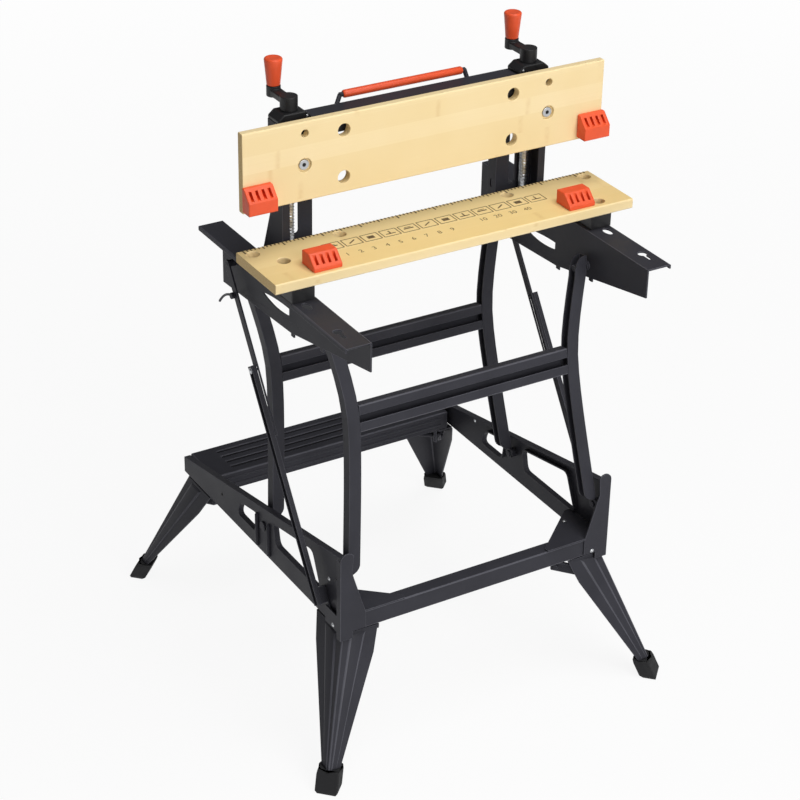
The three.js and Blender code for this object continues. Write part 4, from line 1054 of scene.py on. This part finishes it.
def ruler():
    """Ticks along the fixed jaw's back edge."""
    size = sizes()
    name = "ruler_ticks"
    low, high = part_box("fixed_jaw")
    count = int((high.x - low.x - 2 * RULER_INSET) / size.tick_pitch) + 1
    start = (-(count - 1) / 2 * size.tick_pitch, high.y - RULER_EDGE, high.z + INK_DEPTH / 4)
    mesh = run_tree(name, ruler_tree, bpy.data.meshes.new(name),
                    Count=count, Pitch=size.tick_pitch, Width=size.tick_width, Length=size.tick_length,
                    Start=start, Material=finish("printed_ink"))
    print_on_jaw(name, mesh)


def stamped_text(words, height, place):
    """A mesh of plain characters lying on the fixed jaw, centred on a place."""
    data = bpy.data.curves.new("characters", "FONT")
    data.body = words
    data.size = height
    data.align_x = "CENTER"
    data.align_y = "CENTER"
    data.extrude = INK_DEPTH / 2
    blank = in_scene("characters", data)
    mesh = plain_mesh(blank)
    mesh.transform(Matrix.Translation(place))
    return mesh


def joined_mesh(name, meshes):
    """Several meshes as one closed skin."""
    made = bmesh.new()
    for mesh in meshes:
        made.from_mesh(mesh)
        bpy.data.meshes.remove(mesh)
    bmesh.ops.remove_doubles(made, verts=made.verts, dist=MERGE)
    return skin_mesh(name, made, smooth=False)


def plain_numbers():
    """Two rows of plain numbers where lettering would be printed."""
    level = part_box("fixed_jaw")[1].z + INK_DEPTH / 4
    made = []
    for values, start, pitch, y in NUMBER_ROWS:
        for i, value in enumerate(values):
            made.append(stamped_text(str(value), sizes().number, (start + i * pitch, y, level)))
    print_on_jaw("plain_numbers", joined_mesh("plain_numbers", made))


def plain_marks():
    """A row of plain framed boxes with simple strokes, where small pictures would be printed."""
    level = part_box("fixed_jaw")[1].z + INK_DEPTH / 4
    width, depth = MARK_SIZE
    line = sizes().line
    made = bmesh.new()

    def stroke(x, y, along, across, turn=0.0):
        place = Matrix.Translation((x, y, level)) @ Matrix.Rotation(turn, 4, "Z")
        shape = Matrix.Diagonal((along, across, INK_DEPTH, 1))
        bmesh.ops.create_cube(made, size=1.0, matrix=place @ shape)

    for i in range(MARK_COUNT):
        x = MARK_ROW[0] + (MARK_ROW[1] - MARK_ROW[0]) * i / (MARK_COUNT - 1)
        for offset in (-1, 1):
            stroke(x, MARK_Y + offset * depth / 2, width, line)
            stroke(x + offset * width / 2, MARK_Y, line, depth)
        kind = i % 4
        if kind == 0:
            stroke(x, MARK_Y, 0.6 * width, 2 * line)
            stroke(x, MARK_Y + 4 * MM, 0.4 * width, line)
        elif kind == 1:
            stroke(x, MARK_Y, 0.55 * width, 1.5 * line, math.radians(35))
        elif kind == 2:
            stroke(x, MARK_Y, 0.42 * width, 0.4 * depth)
        else:
            stroke(x, MARK_Y - 3 * MM, 0.6 * width, 1.5 * line)
            stroke(x, MARK_Y + 1 * MM, 1.5 * line, 0.5 * depth)
    print_on_jaw("plain_marks", skin_mesh("plain_marks", made, smooth=False))


class WORKBENCH_OT_vise(bpy.types.Operator):
    """Vise posts, top bar, bearings, threaded screws and slider blocks"""

    bl_idname = "workbench.vise"
    bl_label = "Vise"

    def execute(self, context):
        for side, _ in SIDES:
            dress_sheet(f"vise_post_{side}")
            dress(f"screw_bearing_{side}", sizes().moulded)
            dress(f"jaw_slider_{side}", sizes().rim * 1.5, segments=2)
            vise_screw(side)
        dress_sheet("vise_top_bar")
        return {"FINISHED"}


def turned_size(node):
    """The middle of a turned node's foot, its radius and its height."""
    low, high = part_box(node)
    middle = (low + high) / 2
    return Vector((middle.x, middle.y, low.z)), (high.x - low.x) / 2, high.z - low.z


def vise_screw(side):
    """A screw: a turned core with a two-start thread wound on the part below the top bar."""
    node = f"vise_screw_{side}"
    size = sizes()
    foot, radius, tall = turned_size(node)
    core = radius - size.thread
    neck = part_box("vise_top_bar")[0].z - SCREW_CLEAR - foot.z
    profile = [(0, 0), (core - 1 * MM, 0), (core, 1.5 * MM), (core, neck), (radius, neck + 1 * MM),
               (radius, tall - 0.5 * MM), (radius - 0.5 * MM, tall), (0, tall)]
    shank = turned_mesh(node, profile, SCREW_SIDES, Matrix.Translation(foot))
    mesh = run_tree(node, thread_tree, shank, Lead=size.thread_lead, Height=neck - 2 * THREAD_INSET,
                    Radius=core, Profile=size.thread, Place=foot + THREAD_INSET * UP,
                    Material=finish("zinc_plated_steel"))
    stand_in(node, mesh, ["zinc_plated_steel"])


class WORKBENCH_OT_cranks(bpy.types.Operator):
    """Cranks, turned knobs and the carrying handle"""

    bl_idname = "workbench.cranks"
    bl_label = "Cranks and handle"

    def execute(self, context):
        for side, _ in SIDES:
            dress(f"crank_{side}", sizes().moulded, *CRANK_EDGES)
            crank_knob(side)
        dress("carry_handle_bail", sizes().rim, segments=2)
        handle_grip()
        return {"FINISHED"}


def handle_grip():
    """The grip: a sleeve that narrows at both ends onto the bail's rod."""
    node = "carry_handle_grip"
    low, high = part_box(node)
    y, z = (low.y + high.y) / 2, (low.z + high.z) / 2
    run = [(Vector((low.x + inset, y, z)), width) for inset, width in GRIP_ENDS]
    run += [(Vector((high.x - inset, y, z)), width) for inset, width in reversed(GRIP_ENDS)]
    stand_in(node, bead_mesh(node, [run], GRIP_RADIUS, GRIP_SIDES, "orange_abs"), ["orange_abs"])


def crank_knob(side):
    """A turned knob: a taper that widens to a rounded, slightly dished top, bored for its pin."""
    node = f"crank_knob_{side}"
    foot, top, tall = turned_size(node)
    profile = [
        (0, tall - KNOB_CROWN), (KNOB_BORE, tall - KNOB_CROWN), (KNOB_BORE, 0),
        *arc((KNOB_FOOT - KNOB_FOOT_EDGE, KNOB_FOOT_EDGE), KNOB_FOOT_EDGE, -90, 0, 4),
        (top - 0.6 * MM, tall - 3 * KNOB_RIM), *arc((top - KNOB_RIM, tall - KNOB_RIM), KNOB_RIM, 0, 90, 7),
        (top - 2 * KNOB_RIM, tall - 0.5 * MM), (0, tall - 0.8 * MM)]
    mesh = turned_mesh(node, profile, KNOB_SIDES, Matrix.Translation(foot))
    stand_in(node, mesh, ["orange_abs"])


class WORKBENCH_OT_pegs(bpy.types.Operator):
    """Swivel pegs in both jaws"""

    bl_idname = "workbench.pegs"
    bl_label = "Pegs"

    def execute(self, context):
        for side, _ in SIDES:
            for jaw in ("fixed", "moving"):
                dress(f"peg_{jaw}_{side}", sizes().moulded, *PEG_EDGES)
        return {"FINISHED"}


class WORKBENCH_OT_fasteners(bpy.types.Operator):
    """Rivets, and dark dishes of painted shade for drilled holes and bolt sockets"""

    bl_idname = "workbench.fasteners"
    bl_label = "Fasteners"

    def execute(self, context):
        base_heads()
        for side, sx in SIDES:
            moving_heads(side, sx)
        return {"FINISHED"}


def base_heads():
    """Rivets of the brackets and side rails, and dark dishes of painted shade for their holes."""
    heads, bores = [], []
    for side, sx in SIDES:
        bracket, rail = f"corner_bracket_{side}", f"side_rail_{side}"
        out = Vector((sx, 0, 0))
        heads.append(set_on(bracket, (sx * OUTSIDE, *BRACKET_SIDE_HEAD), -out))
        heads.append(set_on(bracket, (sx * GUSSET_HEAD[0], *GUSSET_HEAD[1:]), -UP))
        heads.append(set_on(rail, (sx * OUTSIDE, *RAIL_SIDE_HEAD), -out))
        heads.append(set_on(rail, (sx * INSIDE, *RAIL_HEAD), out))
        bores.append(set_on(rail, (sx * OUTSIDE, *RAIL_HOLE), -out))
    heads.append(set_on("corner_bracket_right", BRACKET_FRONT_HEAD, REARWARD))
    fasteners("base_rivets", rivet_head(), BASE_HEAD * sizes().rivet, heads, "base")
    holes("base_holes", BASE_HEAD * sizes().rivet, bores, "base")


def moving_heads(side, sx):
    """Rivets of one side's strut and bearing, and a dark dish of painted shade for the socket of the bolt
    that holds the moving jaw.
    """
    rivet = sizes().rivet
    low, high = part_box(f"strut_lower_{side}")
    face = (low.x if sx < 0 else high.x) - sx * STRUT_PIN_SUNK * MM
    pin = (Vector((face, *(place * MM for place in STRUT_PIN))), Vector((sx, 0, 0)))
    fasteners(f"strut_rivet_{side}", rivet_head(), rivet, [pin], f"lower_strut_{side}")
    bearing = f"screw_bearing_{side}"
    head = set_on(bearing, (sx * BEARING_HEAD[0], -OUTSIDE, BEARING_HEAD[1]), REARWARD)
    fasteners(f"bearing_rivet_{side}", rivet_head(), BEARING_HEAD_SHARE * rivet, [head], body_of(bearing))
    slider = f"jaw_slider_{side}"
    middle = sum(corner.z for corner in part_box(slider)) / 2 / MM
    # A dark dish on the bolt's head: painted shade for its socket
    socket = set_on(slider, (sx * JAW_BOLT_X, -OUTSIDE, middle), REARWARD)
    holes(f"bolt_socket_{side}", SOCKET_SHARE * rivet, [socket], body_of(slider))


def set_on(node, start, way):
    """Where a straight line from a start, in millimetres, meets a CAD node, and how a head there faces."""
    skin = cad_copy(node, False)
    place = BVHTree.FromBMesh(skin).ray_cast(Vector(start) * MM, way)[0]
    skin.free()
    if place is None:
        raise RuntimeError(f"nothing of {node} lies that way")
    return place, -way


# Stage


class WORKBENCH_OT_stage(bpy.types.Operator):
    """Pale floor, soft studio light and the photograph's camera"""

    bl_idname = "workbench.stage"
    bl_label = "Stage"

    def execute(self, context):
        stage_floor()
        stage_world()
        for name, (place, width, watts) in LAMPS.items():
            soft_lamp(name, place, width, watts)
        stage_camera()
        context.scene.view_settings.view_transform = "Standard"
        return {"FINISHED"}


def stage_floor():
    """A plain floor: to the eye mostly its own white with the object's shadow, plain white far off."""
    mesh = bpy.data.meshes.new("floor")
    half = FLOOR_HALF
    corners = [(-half, -half, 0), (half, -half, 0), (half, half, 0), (-half, half, 0)]
    mesh.from_pydata(corners, [], [(0, 1, 2, 3)])
    floor = in_scene("floor", mesh)
    material, tree, place = blank_material("pale_floor")
    matt = add(tree, "ShaderNodeBsdfPrincipled", {
        "Base Color": linear("f4f4f4"), "Roughness": 0.9, "Specular IOR Level": 0.0})
    white = add(tree, "ShaderNodeEmission", {"Color": WHITE, "Strength": 1.0})
    rays = add(tree, "ShaderNodeLightPath").outputs
    seen = rays["Is Camera Ray"]
    for kind in ("Is Glossy Ray", "Is Transmission Ray"):
        seen = add(tree, "ShaderNodeMath", {0: seen, 1: rays[kind]}, operation="ADD")
    far = add(tree, "ShaderNodeVectorMath", {0: place}, operation="LENGTH").outputs["Value"]
    plain = add(tree, "ShaderNodeMapRange", {
        "Value": far, "From Min": FLOOR_FADE[0], "From Max": FLOOR_FADE[1], "To Min": FLOOR_WHITE})
    share = add(tree, "ShaderNodeMath", {0: seen, 1: plain}, operation="MULTIPLY", use_clamp=True)
    both = add(tree, "ShaderNodeMixShader", {0: share, 1: matt, 2: white})
    add(tree, "ShaderNodeOutputMaterial", {"Surface": both})
    mesh.materials.append(material)


def stage_world():
    """An even white sky: faint light on the object, and plain white to the eye."""
    world = bpy.data.worlds.new("studio")
    bpy.context.scene.world = world
    world.use_nodes = True
    tree = world.node_tree
    tree.nodes.clear()
    rays = add(tree, "ShaderNodeLightPath").outputs
    both = {0: rays["Is Camera Ray"], 1: rays["Is Transmission Ray"]}
    seen = add(tree, "ShaderNodeMath", both, operation="ADD")
    level = add(tree, "ShaderNodeMapRange", {"Value": seen, "To Min": WORLD_LEVEL})
    sky = add(tree, "ShaderNodeBackground", {"Color": WHITE, "Strength": level})
    add(tree, "ShaderNodeOutputWorld", {"Surface": sky})


def soft_lamp(name, place, width, watts):
    """A square soft box aimed at the middle of the bench."""
    data = bpy.data.lights.new(name, "AREA")
    data.shape = "SQUARE"
    data.size = width
    data.energy = watts
    aim = LAMP_AIM - Vector(place)
    turn = aim.to_track_quat("-Z", "Y").to_matrix().to_4x4()
    in_scene(name, data).matrix_world = Matrix.Translation(place) @ turn


def stage_camera():
    """The camera that took the photograph, as fitted to the object."""
    data = bpy.data.cameras.new("photograph")
    data.sensor_width = SENSOR
    data.lens = VIEW_FOCAL * SENSOR / VIEW_PIXELS
    data.clip_end = 60.0
    place = Matrix.Translation(VIEW_PLACE)
    for degrees, axis in ((VIEW_AZIMUTH, "Z"), (90 - VIEW_ELEVATION, "X"), (VIEW_ROLL, "Z")):
        place = place @ Matrix.Rotation(math.radians(degrees), 4, axis)
    camera = in_scene("photograph", data)
    camera.matrix_world = place
    bpy.context.scene.camera = camera


# Add-on

STEPS = (
    WORKBENCH_OT_stage, WORKBENCH_OT_base, WORKBENCH_OT_legs, WORKBENCH_OT_frames, WORKBENCH_OT_struts,
    WORKBENCH_OT_top, WORKBENCH_OT_jaws, WORKBENCH_OT_vise, WORKBENCH_OT_cranks, WORKBENCH_OT_pegs,
    WORKBENCH_OT_fasteners,
)


class WORKBENCH_PT_panel(bpy.types.Panel):
    """Lists the steps that build the workbench"""

    bl_idname = "WORKBENCH_PT_panel"
    bl_label = "Folding workbench"
    bl_space_type = "VIEW_3D"
    bl_region_type = "UI"
    bl_category = "Workbench"

    def draw(self, context):
        for build in STEPS:
            self.layout.operator(build.bl_idname)
        for group in (context.scene.workbench_sizes, context.scene.workbench_colours):
            for name in group.__annotations__:
                self.layout.prop(group, name)


CLASSES = (WorkbenchSizes, WorkbenchColours, *STEPS, WORKBENCH_PT_panel)


def register():
    """Registers the classes and their settings."""
    for made in CLASSES:
        bpy.utils.register_class(made)
    bpy.types.Scene.workbench_sizes = bpy.props.PointerProperty(type=WorkbenchSizes)
    bpy.types.Scene.workbench_colours = bpy.props.PointerProperty(type=WorkbenchColours)


def unregister():
    """Takes the classes and their settings away again."""
    del bpy.types.Scene.workbench_colours
    del bpy.types.Scene.workbench_sizes
    for made in reversed(CLASSES):
        bpy.utils.unregister_class(made)


def main():
    """Builds the workbench."""
    register()
    for build in STEPS:
        group, name = build.bl_idname.split(".")
        getattr(getattr(bpy.ops, group), name)()


if __name__ == "__main__":
    main()
